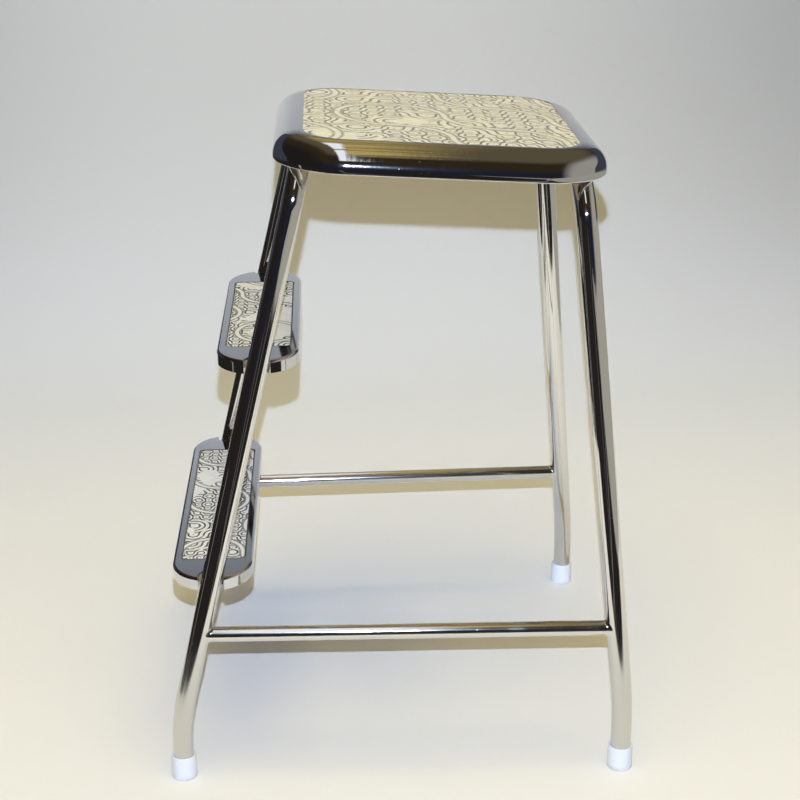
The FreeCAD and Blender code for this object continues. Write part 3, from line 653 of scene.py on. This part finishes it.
pan_rings = [on_seat(inset_ring(SEAT_HALF, SEAT_CORNER, inset, z)) for inset, z in pan_profile()[::-1]]
seat_pan = add_object("pressed_seat_pan", skin("pressed_seat_pan", pan_rings, pan_chrome_painted_shade, 50.0))
finish_piece(seat_pan, "chrome_sheet", "seat_pan")

# %% [markdown]
# ## Printed panels
# A laminate panel lies in each recess, a hair below the metal, with a fine dark gap round
# it. Its top edge is eased, because a cut laminate edge catches the light. The step panels
# are edged with a painted shadow of the gap, a material of its own on all faces but the
# first and the last, which are the underside and the printed top.

# %% Panels
PANEL = 1.2 * MM
PANEL_GAP = 0.3 * MM
EASED = 0.25 * MM
# A band this wide round the top of a step panel, and the panel's edges, are painted near black: a painted
# shadow of the gap round the panel.
GAP_SHADOW_WIDTH = 1.1 * MM
GAP_SHADOW_BLACK = (0.030, 0.029, 0.030)
GAP_SHADOW_LIGHTER = (0.075, 0.070, 0.065)


# Painted shade: near black with lighter patches, standing for the shadow in the gap round a step panel.
def painted_gap_shadow():
    material, tree, shader, place = new_material("painted gap shadow")
    colour = tree.mix(tree.noise(place, 200.0), GAP_SHADOW_BLACK, GAP_SHADOW_LIGHTER)
    set_shader(tree, shader, base_color=colour, roughness=0.5 + tree.noise(place, 500.0) * 0.2)
    return material


def panel_rings(half, corner, top):
    """The rings of a panel from its underside up to its eased top edge."""
    rings = [inset_ring(half, corner, 0, top - PANEL)]
    for turn in range(0, 91, 30):
        angle = math.radians(turn)
        inset = EASED * (1 - math.cos(angle))
        rings.append(inset_ring(half, corner, inset, top - EASED * (1 - math.sin(angle))))
    rings.append(inset_ring(half, corner, GAP_SHADOW_WIDTH, top))
    return rings


panel_inset = SEAT_BORDER * MM + PANEL_GAP
panel_half = [half - panel_inset for half in SEAT_HALF]
rings = [on_seat(r) for r in panel_rings(panel_half, SEAT_CORNER - panel_inset, -INLAY_SET_DOWN)]
seat_panel = add_object("seat_panel", skin("seat_panel", rings, seat_laminate))
finish_piece(seat_panel, "laminate", "seat_inlay")

STEP_PANEL_CORNER = 5.5 * MM
gap_shadow_paint = painted_gap_shadow()
for name in ("upper", "lower"):
    low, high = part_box(name + "_step_inlay")
    middle = (low + high) / 2
    half = ((high.x - low.x) / 2, (high.y - low.y) / 2)
    shift = Vector((middle.x, middle.y, 0))
    rings = [[p + shift for p in r] for r in panel_rings(half, STEP_PANEL_CORNER, high.z)]
    title = name + "_step_panel"
    mesh = skin(title, rings, step_laminate)
    # All faces but the underside and the printed top take the painted gap shadow.
    mesh.materials.append(gap_shadow_paint)
    for face in mesh.polygons[1:-1]:
        face.material_index = 1
    finish_piece(add_object(title, mesh), "laminate", name + "_step_inlay")

# %% [markdown]
# ## Stretchers and their brazed ends
# One thin tube on each side joins a step leg to a back leg. Its ends are cut to the legs'
# curve, and a small hollow fillet of braze, ground and plated over, fills the corner. Each
# end ring is found by meeting every line of the tube's wall with the leg's cylinder, which
# gives the true saddle shape.

# %% Meet a line with a leg
def on_leg(point, heading, leg):
    """Where a line that starts inside a leg leaves its round wall."""
    crest, foot = leg
    along = (crest - foot).normalized()
    offset = point - foot
    flat_offset = offset - along * offset.dot(along)
    flat_heading = heading - along * heading.dot(along)
    a = flat_heading.length_squared
    b = flat_offset.dot(flat_heading)
    c = flat_offset.length_squared - LEG_RADIUS ** 2
    return (math.sqrt(b * b - a * c) - b) / a


def leg_point(leg, height):
    crest, foot = leg
    return crest + (foot - crest) * ((crest.z - height) / (crest.z - foot.z))


def mirrored(point, sign):
    return Vector((point.x, sign * point.y, point.z))


# %% Build a stretcher
SIDES = 48
SUNK = 1.0 * MM
BRAZE_LENGTH = 4.5 * MM
BRAZE_FLARE = 2.2 * MM
BRAZE_STEPS = 7
BURIED = 0.08 * MM
INNER_RINGS = (0.05, 0.35, 0.65, 0.95)
SADDLE_ANGLE = 60.0


def round_axis(heading, count):
    """Unit vectors round a heading, for rings of that many points."""
    side = heading.cross(Vector((0, 0, 1))).normalized()
    up = heading.cross(side)
    turns = [2 * math.pi * k / count for k in range(count)]
    return [side * math.cos(t) + up * math.sin(t) for t in turns]


def stretcher(side, sign):
    """One side's stretcher between its two legs, with the braze at both ends."""
    low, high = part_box(side + "_stretcher")
    height = (low.z + high.z) / 2
    radius = (high.z - low.z) / 2
    legs = [[mirrored(p, sign) for p in leg[:2]] for leg in (STEP_LEG, BACK_LEG)]
    ends = [leg_point(leg, height) for leg in legs]
    heading = (ends[1] - ends[0]).normalized()
    spokes = round_axis(heading, SIDES)
    start = [ends[0] + s * radius for s in spokes]
    stop = [ends[1] + s * radius for s in spokes]
    first = [p + heading * (on_leg(p, heading, legs[0]) - SUNK) for p in start]
    last = [p - heading * (on_leg(p, -heading, legs[1]) - SUNK) for p in stop]
    length = (ends[1] - ends[0]).length
    middle = [[p + heading * (length * share) for p in start] for share in INNER_RINGS]
    title = side + "_stretcher_tube"
    tube = add_object(title, skin(title, [first, *middle, last], tube_chrome, SADDLE_ANGLE))
    finish_piece(tube, "chrome_tube", side + "_stretcher")
    for place, end, leg, way in zip(("step_side", "back"), ends, legs, (heading, -heading)):
        braze(side + "_" + place, end, leg, way, radius)


def braze(name, end, leg, heading, radius):
    """A hollow fillet round a stretcher's end, closed inside the metal."""
    spokes = round_axis(heading, SIDES)
    rings = [[] for step in range(BRAZE_STEPS + 2)]
    for spoke in spokes:
        root = end + spoke * (radius - BURIED)
        corner = root + heading * on_leg(root, heading, leg)
        wide = end + spoke * (radius + BRAZE_FLARE)
        foot = wide + heading * (on_leg(wide, heading, leg) - BURIED)
        tip = corner + heading * BRAZE_LENGTH
        for step in range(BRAZE_STEPS):
            t = step / (BRAZE_STEPS - 1)
            rings[step].append(foot * (1 - t) ** 2 + corner * (2 * t * (1 - t)) + tip * t ** 2)
        rings[BRAZE_STEPS].append(tip - spoke * BURIED * 4)
        rings[BRAZE_STEPS + 1].append(corner - heading * SUNK - spoke * BURIED * 4)
    title = name + "_braze"
    mesh = skin(title, rings, tube_chrome, SADDLE_ANGLE)
    finish_piece(add_object(title, mesh), "chrome_tube", name + "_braze_collar")


stretcher("near", -1)
stretcher("far", 1)

# %% [markdown]
# ## Foot caps
# Each leg stands in a moulded cap: a plain cup with a rounded foot, a slight draft up its
# side so that it leaves the mould, and a soft lip. All four are the same moulding, so one
# lathe profile is made once and Geometry Nodes set a copy at each foot.

# %% One cap
CAP_RADIUS = 12.25
CAP_TOP_RADIUS = 11.75
CAP_HEIGHT = 24.5
CAP_FLOOR = 4.0
CAP_FOOT = 1.6
CAP_LIP = 0.9
CAP_MOUTH = ((0.35, 0.1), (0.0, 0.5))
CAP_SIDES = 64


def cap_rings():
    """The cap's profile in millimetres: foot, side, lip, the eased mouth and the bore."""
    foot_centre = (CAP_RADIUS - CAP_FOOT, CAP_FOOT)
    lip_centre = (CAP_TOP_RADIUS - CAP_LIP, CAP_HEIGHT - CAP_LIP)
    bore = LEG_RADIUS / MM
    profile = arc(foot_centre, CAP_FOOT, -90, 0, 8)
    profile += arc(lip_centre, CAP_LIP, 3, 90, 7)
    profile += [(bore + wider, CAP_HEIGHT - down) for wider, down in CAP_MOUTH]
    profile.append((bore, CAP_FLOOR))
    return [circle(radius * MM, z * MM, CAP_SIDES) for radius, z in profile]


cap = add_object("one cap", skin("one cap", cap_rings(), white_plastic, 40.0))

# %% Four caps
COPY_INPUTS = {"Copy": "NodeSocketObject", "Tilt": "NodeSocketFloat", "Finish": "NodeSocketMaterial"}
copies, spots_in = geometry_tree("copies on points", COPY_INPUTS)
copy_info = copies.node("GeometryNodeObjectInfo", None, {"Object": spots_in.output("Copy")}, "Geometry")
tilt = copies.node("ShaderNodeCombineXYZ", None, {"Y": spots_in.output("Tilt")})
placed_inputs = {"Points": spots_in, "Instance": copy_info, "Rotation": tilt}
placed = copies.node("GeometryNodeInstanceOnPoints", None, placed_inputs)
end_tree(copies, placed, spots_in.output("Finish"))


def copies_on(name, spots, original, tilt):
    """One mesh with a copy of the original at each spot, all tilted about Y."""
    points = bpy.data.meshes.new(name + " spots")
    points.from_pydata(spots, [], [])
    values = {"Copy": original, "Tilt": tilt, "Finish": original.data.materials[0]}
    return run_tree(copies, points, values, name)


FEET = [mirrored(leg[1], sign) for leg in (STEP_LEG, BACK_LEG) for sign in (-1, 1)]
foot_caps = copies_on("foot_caps", [Vector((p.x, p.y, 0)) for p in FEET], cap, 0.0)
bpy.data.objects.remove(cap)
CAP_NODES = ["%s_%s_foot_cap" % (side, leg) for side in ("near", "far") for leg in ("step_side", "back")]
finish_piece(foot_caps, "cap_plastic", *CAP_NODES)

# %% [markdown]
# ## Screws
# Small pan head screws hold the clips and brackets to the boards, and only someone who
# turns the stool over sees them. A head is a flat dome with a cross recess. The recess is
# a ring too: its outline is a plus sign written as a radius for each angle, so it fits the
# same stack of rings. The screws on the seat share its tilt.

# %% One screw
SCREW_HEAD = 3.3
SCREW_HEIGHT = 2.0
SCREW_SHANK = 1.6
SCREW_LENGTH = 6.4
SCREW_SIDES = 32
SCREW_TIP = 0.4
SCREW_TIP_LENGTH = 1.0
DOME = ((2.2, 1.95), (2.8, 1.6), (3.15, 1.1), (SCREW_HEAD, 0.5), (SCREW_HEAD, 0.0))
CROSS_ARM = 1.6
CROSS_HALF_WIDTH = 0.45
CROSS_DEPTH = 1.0
CROSS_FLOOR_SCALE = 0.8


def cross_ring(scale, z):
    """The outline of a plus sign."""
    ring = []
    for k in range(SCREW_SIDES):
        turn = 2 * math.pi * k / SCREW_SIDES
        far = max(abs(math.cos(turn)), abs(math.sin(turn)))
        near = min(abs(math.cos(turn)), abs(math.sin(turn)))
        reach = CROSS_ARM / far
        if near > 1e-6:
            reach = min(reach, CROSS_HALF_WIDTH / near)
        reach = max(reach, CROSS_HALF_WIDTH) * scale * MM
        ring.append(Vector((reach * math.cos(turn), reach * math.sin(turn), z)))
    return ring


def screw_rings():
    """The head hangs below the bearing face at nought, and the shank goes up."""
    cross_floor = cross_ring(CROSS_FLOOR_SCALE, (CROSS_DEPTH - SCREW_HEIGHT) * MM)
    cross_mouth = cross_ring(1.0, -SCREW_HEIGHT * MM)
    shank_end = SCREW_LENGTH - SCREW_TIP_LENGTH
    profile = [(radius, -depth) for radius, depth in DOME]
    profile += [(SCREW_SHANK, 0.0), (SCREW_SHANK, shank_end), (SCREW_TIP, SCREW_LENGTH)]
    circles = [circle(radius * MM, z * MM, SCREW_SIDES) for radius, z in profile]
    return [cross_floor, cross_mouth, *circles]


screw = add_object("one screw", skin("one screw", screw_rings(), screw_steel, 30.0))

# %% Where the screws are
SEAT_BOARD = 8.0
STRAP = 1.6
STRAP_EAR = 15
EAR_MIDDLE = LEG_RADIUS + (STRAP + STRAP_EAR / 2) * MM
STRAP_ROWS = (-55 * MM, 55 * MM)
STRAP_SPREAD = 6 * MM
STRAP_UNDERSIDE = -(RECESS + SHEET + SEAT_BOARD + STRAP) * MM


def strap_screws():
    spots = []
    for leg, inboard in ((STEP_LEG, 1), (BACK_LEG, -1)):
        crest = SEAT_PLACE.inverted() @ leg[0]
        for row in STRAP_ROWS:
            for spread in (-STRAP_SPREAD, STRAP_SPREAD):
                local = Vector((crest.x + inboard * EAR_MIDDLE, row + spread, STRAP_UNDERSIDE))
                spots.append(SEAT_PLACE @ local)
    return spots


BRACKET_REACH = 32 * MM
SCREW_MARGIN = 10.2 * MM
SCREW_ACROSS = 6.8 * MM
LEAF = 2.5 * MM
TIP_BEYOND_LEG = {"upper": 2.3 * MM, "lower": 7.0 * MM}


def bracket_screws():
    spots = []
    for name, beyond in TIP_BEYOND_LEG.items():
        low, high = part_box(name + "_step_tray")
        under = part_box("near_%s_step_bracket" % name)[1].z - LEAF
        y = high.y - beyond - LEG_RADIUS - BRACKET_REACH + SCREW_MARGIN
        x = (low.x + high.x) / 2
        spots += [Vector((x + dx, sy * y, under)) for sy in (-1, 1) for dx in (-SCREW_ACROSS, SCREW_ACROSS)]
    return spots


seat_screws = copies_on("seat_clip_screws", strap_screws(), screw, SEAT_TILT)
finish_piece(seat_screws, "screw_steel", "seat_strap_screws")
step_screws = copies_on("step_bracket_screw_set", bracket_screws(), screw, 0.0)
finish_piece(step_screws, "screw_steel", "step_bracket_screws")
bpy.data.objects.remove(screw)

# %% [markdown]
# ## CAD pieces that keep their shape
# Trays, boards, brackets and clips are already right as solids: sheet with small pressed
# edges, and flat cut plates. They only need a finish, which goes to their material slots.

# %% Dress the CAD pieces
FINISHES = {
    "_tray": tray_chrome_painted_shade,
    "_board": board_wood,
    "_bracket": bracket_steel,
    "_straps": bracket_steel,
}
for name, node in frame["nodes"].items():
    for ending, material in FINISHES.items():
        if name.endswith(ending):
            for place in node.material_slots:
                place.material = material
            print(name, "is", material.name)

# %% [markdown]
# ## Camera
# The camera's place and turn were found from the photograph: the legs' slopes fix the
# height and distance, and the floor line of the caps fixes the tilt. The lens is written
# in pixels of the picture's own frame and turned into millimetres.

# %% Camera
FOCAL_PIXELS = 1554.4
IMAGE_PIXELS = 800
SENSOR = 36.0
EYE = Vector((-0.0656, -1.4658, 0.8819))
YAW = 0.05
PITCH = -0.3703
ROLL = -0.0035

ahead = Vector((math.sin(YAW) * math.cos(PITCH), math.cos(YAW) * math.cos(PITCH), math.sin(PITCH)))
right = Vector((math.cos(YAW), -math.sin(YAW), 0.0))
up = right.cross(ahead)
turned_right = right * math.cos(ROLL) + up * math.sin(ROLL)
turned_up = up * math.cos(ROLL) - right * math.sin(ROLL)
lens = bpy.data.cameras.new("camera")
lens.sensor_width = SENSOR
lens.lens = FOCAL_PIXELS / IMAGE_PIXELS * SENSOR
lens.clip_start = 0.02
lens.clip_end = 60.0
camera = bpy.data.objects.new("camera", lens)
turn = Matrix((turned_right, turned_up, -ahead)).transposed().to_4x4()
camera.matrix_world = Matrix.Translation(EYE) @ turn
bpy.context.scene.collection.objects.link(camera)
bpy.context.scene.camera = camera
print("lens:", round(lens.lens, 2), "mm")

# %% [markdown]
# ## A paper sweep in a dim room
# Chrome shows its surroundings, so the studio is built like a real one: a sheet of pale
# paper on the floor that curves up behind the stool, in a room that is darker than the
# paper. The paper looks endless to the camera. To a reflection it ends where a real sheet
# ends, which is what draws the dark bands along the tubes.

# %% The paper
PAPER_HALF_WIDTH = 9.0
FLOOR_ROWS = (-9.0, -2.0, 0.0)
SWEEP_START = 0.80
SWEEP_RADIUS = 1.35
PAPER_TOP = 4.2
SWEEP_STEPS = 16


def paper_profile():
    profile = [(y, 0.0) for y in FLOOR_ROWS]
    for step in range(SWEEP_STEPS + 1):
        turn = math.pi / 2 * step / SWEEP_STEPS
        y = SWEEP_START + SWEEP_RADIUS * math.sin(turn)
        profile.append((y, SWEEP_RADIUS * (1 - math.cos(turn))))
    profile.append((SWEEP_START + SWEEP_RADIUS, PAPER_TOP))
    return profile


def paper_mesh():
    profile = paper_profile()
    points = [Vector((x, y, z)) for y, z in profile for x in (-PAPER_HALF_WIDTH, PAPER_HALF_WIDTH)]
    faces = [(2 * k, 2 * k + 1, 2 * k + 3, 2 * k + 2) for k in range(len(profile) - 1)]
    mesh = bpy.data.meshes.new("paper")
    mesh.from_pydata(points, [], faces)
    mesh.shade_smooth()
    return mesh


# %% [markdown]
# The paper is nearly neutral, with painted light in its colour: painted shade darkens it
# where it stands up at the back and out to its sides, and a painted cool light tints it
# blue behind the stool. Only reflections see where it ends: on dark floor in front and to
# the left, with
# three narrow gleams that start at the near feet, on a lighter floor to the right, and at
# the back in a shade that deepens with height. High up, reflections pass through the paper
# and see the room. A pair of numbers is again the range over which a mask changes.

# %% Paper finish
FLOOR_PAPER = (0.90, 0.90, 0.89)
# Painted light on the paper: a cool tint behind the stool, painted shade where it stands up at the back,
# and deeper painted shade out to its sides, least at the given X.
MIDDLE_PAINTED_COOL_LIGHT = (0.84, 0.88, 0.96)
BACK_PAINTED_SHADE = (0.59, 0.585, 0.57)
SIDE_PAINTED_SHADE = (0.37, 0.37, 0.365)
PAPER_CLOUD = (0.60, 0.60, 0.62)
PAINTED_COOL_LIGHT_Y = (0.0, 1.0)
BACK_PAINTED_SHADE_Y = (0.8, 1.9)
PAINTED_LIGHT_MIDDLE_X = -0.12
SIDE_PAINTED_SHADE_X = (0.2, 1.4)
SIDE_PAINTED_SHADE_Y = (0.5, 2.0)
SHEET_LEFT = -0.66
SHEET_RIGHT = 1.10
SHEET_FRONT = -0.55
EDGE_BLUR = 0.02
RIGHT_EDGE_BLUR = 0.05
SHADED_Z = (0.50, 1.80)
OPEN_Z = (1.50, 1.80)
LIGHT_FLOOR_X = (0.95, 1.10)
BACK_Z = (0.1, 0.3)
DARK_FLOOR = (0.020, 0.017, 0.016)
LIGHT_FLOOR = (0.40, 0.38, 0.33)
BACK_SHADE = (0.050, 0.056, 0.075)
GLEAM_HALF_WIDTH = 0.035
GLEAM_START = 0.05

# Each gleam's foot and heading on the floor, in X and Y, and its colour.
FLOOR_GLEAMS = (
    ((-0.19, -0.17), (-0.97, -0.25), (0.38, 0.37, 0.36)),
    ((-0.19, -0.17), (0.37, -0.93), (0.22, 0.21, 0.19)),
    ((0.21, -0.17), (-0.18, -0.98), (0.13, 0.12, 0.11)),
)


def gleam(x, y, foot, heading):
    """One on a narrow wedge of floor that starts at a foot, and nought beside it."""
    ahead = (x - foot[0]) * heading[0] + (y - foot[1]) * heading[1]
    aside = (x - foot[0]) * heading[1] - (y - foot[1]) * heading[0]
    spread = (aside / ahead.math("MAXIMUM", GLEAM_START)).math("ABSOLUTE")
    return 1.0 - x.tree.ease(spread, GLEAM_HALF_WIDTH * 0.6, GLEAM_HALF_WIDTH)


def paper_material():
    material, tree, shader, place = new_material("paper")
    x = tree.node("ShaderNodeSeparateXYZ", None, [place], "X")
    y = x.output("Y")
    z = x.output("Z")
    # Painted cool light behind the stool, then painted shade at the back and out to the sides.
    cool_lit_paper = tree.mix(tree.ease(y, *PAINTED_COOL_LIGHT_Y), FLOOR_PAPER, MIDDLE_PAINTED_COOL_LIGHT)
    back_shaded_paper = tree.mix(tree.ease(y, *BACK_PAINTED_SHADE_Y), cool_lit_paper, BACK_PAINTED_SHADE)
    beside = tree.ease((x - PAINTED_LIGHT_MIDDLE_X).math("ABSOLUTE"), *SIDE_PAINTED_SHADE_X)
    side_shaded_paper = tree.mix(beside * tree.ease(y, *SIDE_PAINTED_SHADE_Y), back_shaded_paper, SIDE_PAINTED_SHADE)
    colour = tree.mix(tree.noise(place, 6.0, 4.0) * 0.06, side_shaded_paper, PAPER_CLOUD)
    set_shader(tree, shader, base_color=colour, roughness=0.9)
    shader.inputs["Specular IOR Level"].default_value = 0.05
    front = 1.0 - tree.ease(y, SHEET_FRONT - EDGE_BLUR, SHEET_FRONT + EDGE_BLUR)
    left = 1.0 - tree.ease(x, SHEET_LEFT - EDGE_BLUR, SHEET_LEFT + EDGE_BLUR)
    right_side = tree.ease(x, SHEET_RIGHT - RIGHT_EDGE_BLUR, SHEET_RIGHT + RIGHT_EDGE_BLUR)
    shade = tree.ease(z, *SHADED_Z) * 0.9
    ended = front.math("MAXIMUM", left).math("MAXIMUM", right_side).math("MAXIMUM", shade)
    floor_room = tree.mix(tree.ease(x, *LIGHT_FLOOR_X), DARK_FLOOR, LIGHT_FLOOR)
    for foot, heading, tone in FLOOR_GLEAMS:
        floor_room = tree.mix(gleam(x, y, foot, heading), floor_room, tone)
    beyond = tree.mix(tree.ease(z, *BACK_Z), floor_room, BACK_SHADE)
    room = tree.node("ShaderNodeEmission", None, {"Color": beyond, "Strength": 1.0})
    glossy = tree.node("ShaderNodeLightPath", output="Is Glossy Ray")
    lit = Value(tree, shader.outputs[0])
    sheet = tree.node("ShaderNodeMixShader", None, {0: ended * glossy, 1: lit, 2: room})
    through = tree.node("ShaderNodeBsdfTransparent")
    open_above = tree.ease(z, *OPEN_Z) * glossy
    whole = tree.node("ShaderNodeMixShader", None, {0: open_above, 1: sheet, 2: through})
    tree.feed(material.node_tree.nodes["Material Output"].inputs["Surface"], whole)
    return material


paper = add_object("paper_sweep", paper_mesh())
paper.data.materials.append(paper_material())
print("paper sweep:", len(paper.data.polygons), "faces")

# %% [markdown]
# ## The room
# The world behind everything is the rest of the room. The camera sees it pale. A little
# soft light comes from it evenly. Only reflections see its tones: blue black at eye level
# in front, dark brown above that and on the left, a beige wall on the right, and a brown
# ceiling with a golden glow. A bright panel with a dark beam across it hangs overhead, a
# little to the left, which is what draws the short white marks on the seat's left corner
# and the white line on the near stretcher. A direction is tested against a plane through
# the eye by a sum of its parts, so a plane is written as its Y and Z parts.

# %% World
AMBIENT = (0.05, 0.047, 0.040)
SEEN_ROOM = (0.80, 0.80, 0.80)
FRONT_LOW = (0.014, 0.016, 0.028)
FRONT_HIGH = (0.034, 0.024, 0.012)
RIGHT_WALL = (0.38, 0.36, 0.31)
LEFT_WALL = (0.018, 0.014, 0.012)
CEILING_BROWN = (0.12, 0.095, 0.055)
CEILING_GOLD = (0.70, 0.53, 0.17)
PANEL_WHITE = (1.10, 1.12, 1.18)
FRONT_HIGH_Z = (0.15, 0.55)
LEFT_WALL_X = (-0.80, -0.45)
RIGHT_WALL_X = (0.55, 0.85)
CEILING_PLANE = (0.34, 0.94)
CEILING_RANGE = (0.55, 0.80)
CEILING_X = (-0.45, -0.20)
CLOUDED = (0.40, 0.66)
CLOUD_STRETCH = (0.6, 1.6, 1.6)
GLOW_X = 0.01
GLOW_HALF_WIDTH = (0.05, 0.17)
PANEL_LEFT_X = (-0.14, -0.09)
PANEL_RIGHT_X = (0.01, 0.06)
PANEL_BACK_PLANE = (-0.766, 0.643)
PANEL_FRONT_PLANE = (0.574, 0.819)
PANEL_EDGE = (0.0, 0.06)
BEAM_Y = 0.02
BEAM_HALF_WIDTH = (0.03, 0.07)


def above_plane(y, z, plane):
    """How far a direction lies above a plane through the eye."""
    return z * plane[1] + y * plane[0]


def room_world():
    world = bpy.data.worlds.new("room")
    bpy.context.scene.world = world
    world.use_nodes = True
    tree = Tree(world.node_tree)
    way = tree.node("ShaderNodeTexCoord", output="Generated")
    x = tree.node("ShaderNodeSeparateXYZ", None, [way], "X")
    y = x.output("Y")
    z = x.output("Z")
    front = tree.mix(tree.ease(z, *FRONT_HIGH_Z), FRONT_LOW, FRONT_HIGH)
    left = tree.mix(tree.ease(x, *LEFT_WALL_X), LEFT_WALL, front)
    walls = tree.mix(tree.ease(x, *RIGHT_WALL_X), left, RIGHT_WALL)
    above = tree.ease(above_plane(y, z, CEILING_PLANE), *CEILING_RANGE)
    cloud = tree.ease(tree.noise(way, 9.0, 4.0, CLOUD_STRETCH), *CLOUDED)
    glow_middle = 1.0 - tree.ease((x - GLOW_X).math("ABSOLUTE"), *GLOW_HALF_WIDTH)
    glow = glow_middle * (0.25 + cloud * 0.75)
    ceiling = tree.mix(glow, CEILING_BROWN, CEILING_GOLD)
    dim_room = tree.mix(above * tree.ease(x, *CEILING_X), walls, ceiling)
    between = (1.0 - tree.ease(x, *PANEL_RIGHT_X)) * tree.ease(x, *PANEL_LEFT_X)
    back_edge = tree.ease(above_plane(y, z, PANEL_BACK_PLANE), *PANEL_EDGE)
    front_edge = tree.ease(above_plane(y, z, PANEL_FRONT_PLANE), *PANEL_EDGE)
    off_beam = tree.ease((y - BEAM_Y).math("ABSOLUTE"), *BEAM_HALF_WIDTH)
    room = tree.mix(between * back_edge * front_edge * off_beam, dim_room, PANEL_WHITE)
    path = tree.node("ShaderNodeLightPath", output="Is Camera Ray")
    even = tree.mix(path, AMBIENT, SEEN_ROOM)
    colour = tree.mix(path.output("Is Glossy Ray"), even, room)
    background = world.node_tree.nodes["Background"]
    tree.feed(background.inputs["Color"], colour)
    background.inputs["Strength"].default_value = 1.0
    print("world:", world.name)


room_world()

# %% [markdown]
# ## Lamps
# A wide soft box overhead lights the paper and the tops, and it is a warm lamp. A small cool
# lamp just above the camera fills the front and throws the crisp shadow that stands close
# behind the seat. Its light doesn't fall off with distance, so the stool and the paper
# behind get the same amount.

# %% Soft box
SOFT_BOX_PLACE = Vector((0.1, -0.5, 2.8))
SOFT_BOX_TARGET = Vector((0.0, -0.2, 0.0))
SOFT_BOX_SIZE = (2.2, 1.8)
SOFT_BOX_WATTS = 48.0
SOFT_BOX_COLOUR = (1.0, 0.79, 0.31)


def soft_box():
    light = bpy.data.lights.new("soft box", "AREA")
    light.shape = "RECTANGLE"
    light.size, light.size_y = SOFT_BOX_SIZE
    light.energy = SOFT_BOX_WATTS
    light.color = SOFT_BOX_COLOUR
    lamp = bpy.data.objects.new("soft box", light)
    heading = SOFT_BOX_TARGET - SOFT_BOX_PLACE
    aimed = heading.to_track_quat("-Z", "Y").to_matrix().to_4x4()
    lamp.matrix_world = Matrix.Translation(SOFT_BOX_PLACE) @ aimed
    lamp.visible_glossy = False
    bpy.context.scene.collection.objects.link(lamp)
    print("soft box:", light.energy, "watts")


soft_box()

# %% Front lamp
FRONT_LAMP_RADIUS = 0.005
ABOVE_LENS = 0.076
FRONT_LAMP_COLOUR = (0.65, 0.77, 1.0)
FRONT_LAMP_STRENGTH = 35.5


def front_lamp():
    light = bpy.data.lights.new("front lamp", "POINT")
    light.shadow_soft_size = FRONT_LAMP_RADIUS
    light.energy = 1.0
    light.use_nodes = True
    tree = Tree(light.node_tree)
    inputs = {"Strength": FRONT_LAMP_STRENGTH}
    even = tree.node("ShaderNodeLightFalloff", None, inputs, "Constant")
    emission = light.node_tree.nodes["Emission"]
    tree.feed(emission.inputs["Strength"], even)
    emission.inputs["Color"].default_value = (*FRONT_LAMP_COLOUR, 1.0)
    lamp = bpy.data.objects.new("front lamp", light)
    lamp.location = EYE + turned_up * ABOVE_LENS
    bpy.context.scene.collection.objects.link(lamp)
    print("front lamp:", FRONT_LAMP_STRENGTH, "at any distance")


front_lamp()

# %% [markdown]
# ## Show the colours as they are
# The Standard view transform shows a colour as it is written.

# %% Finish
scene = bpy.context.scene
scene.view_settings.view_transform = "Standard"
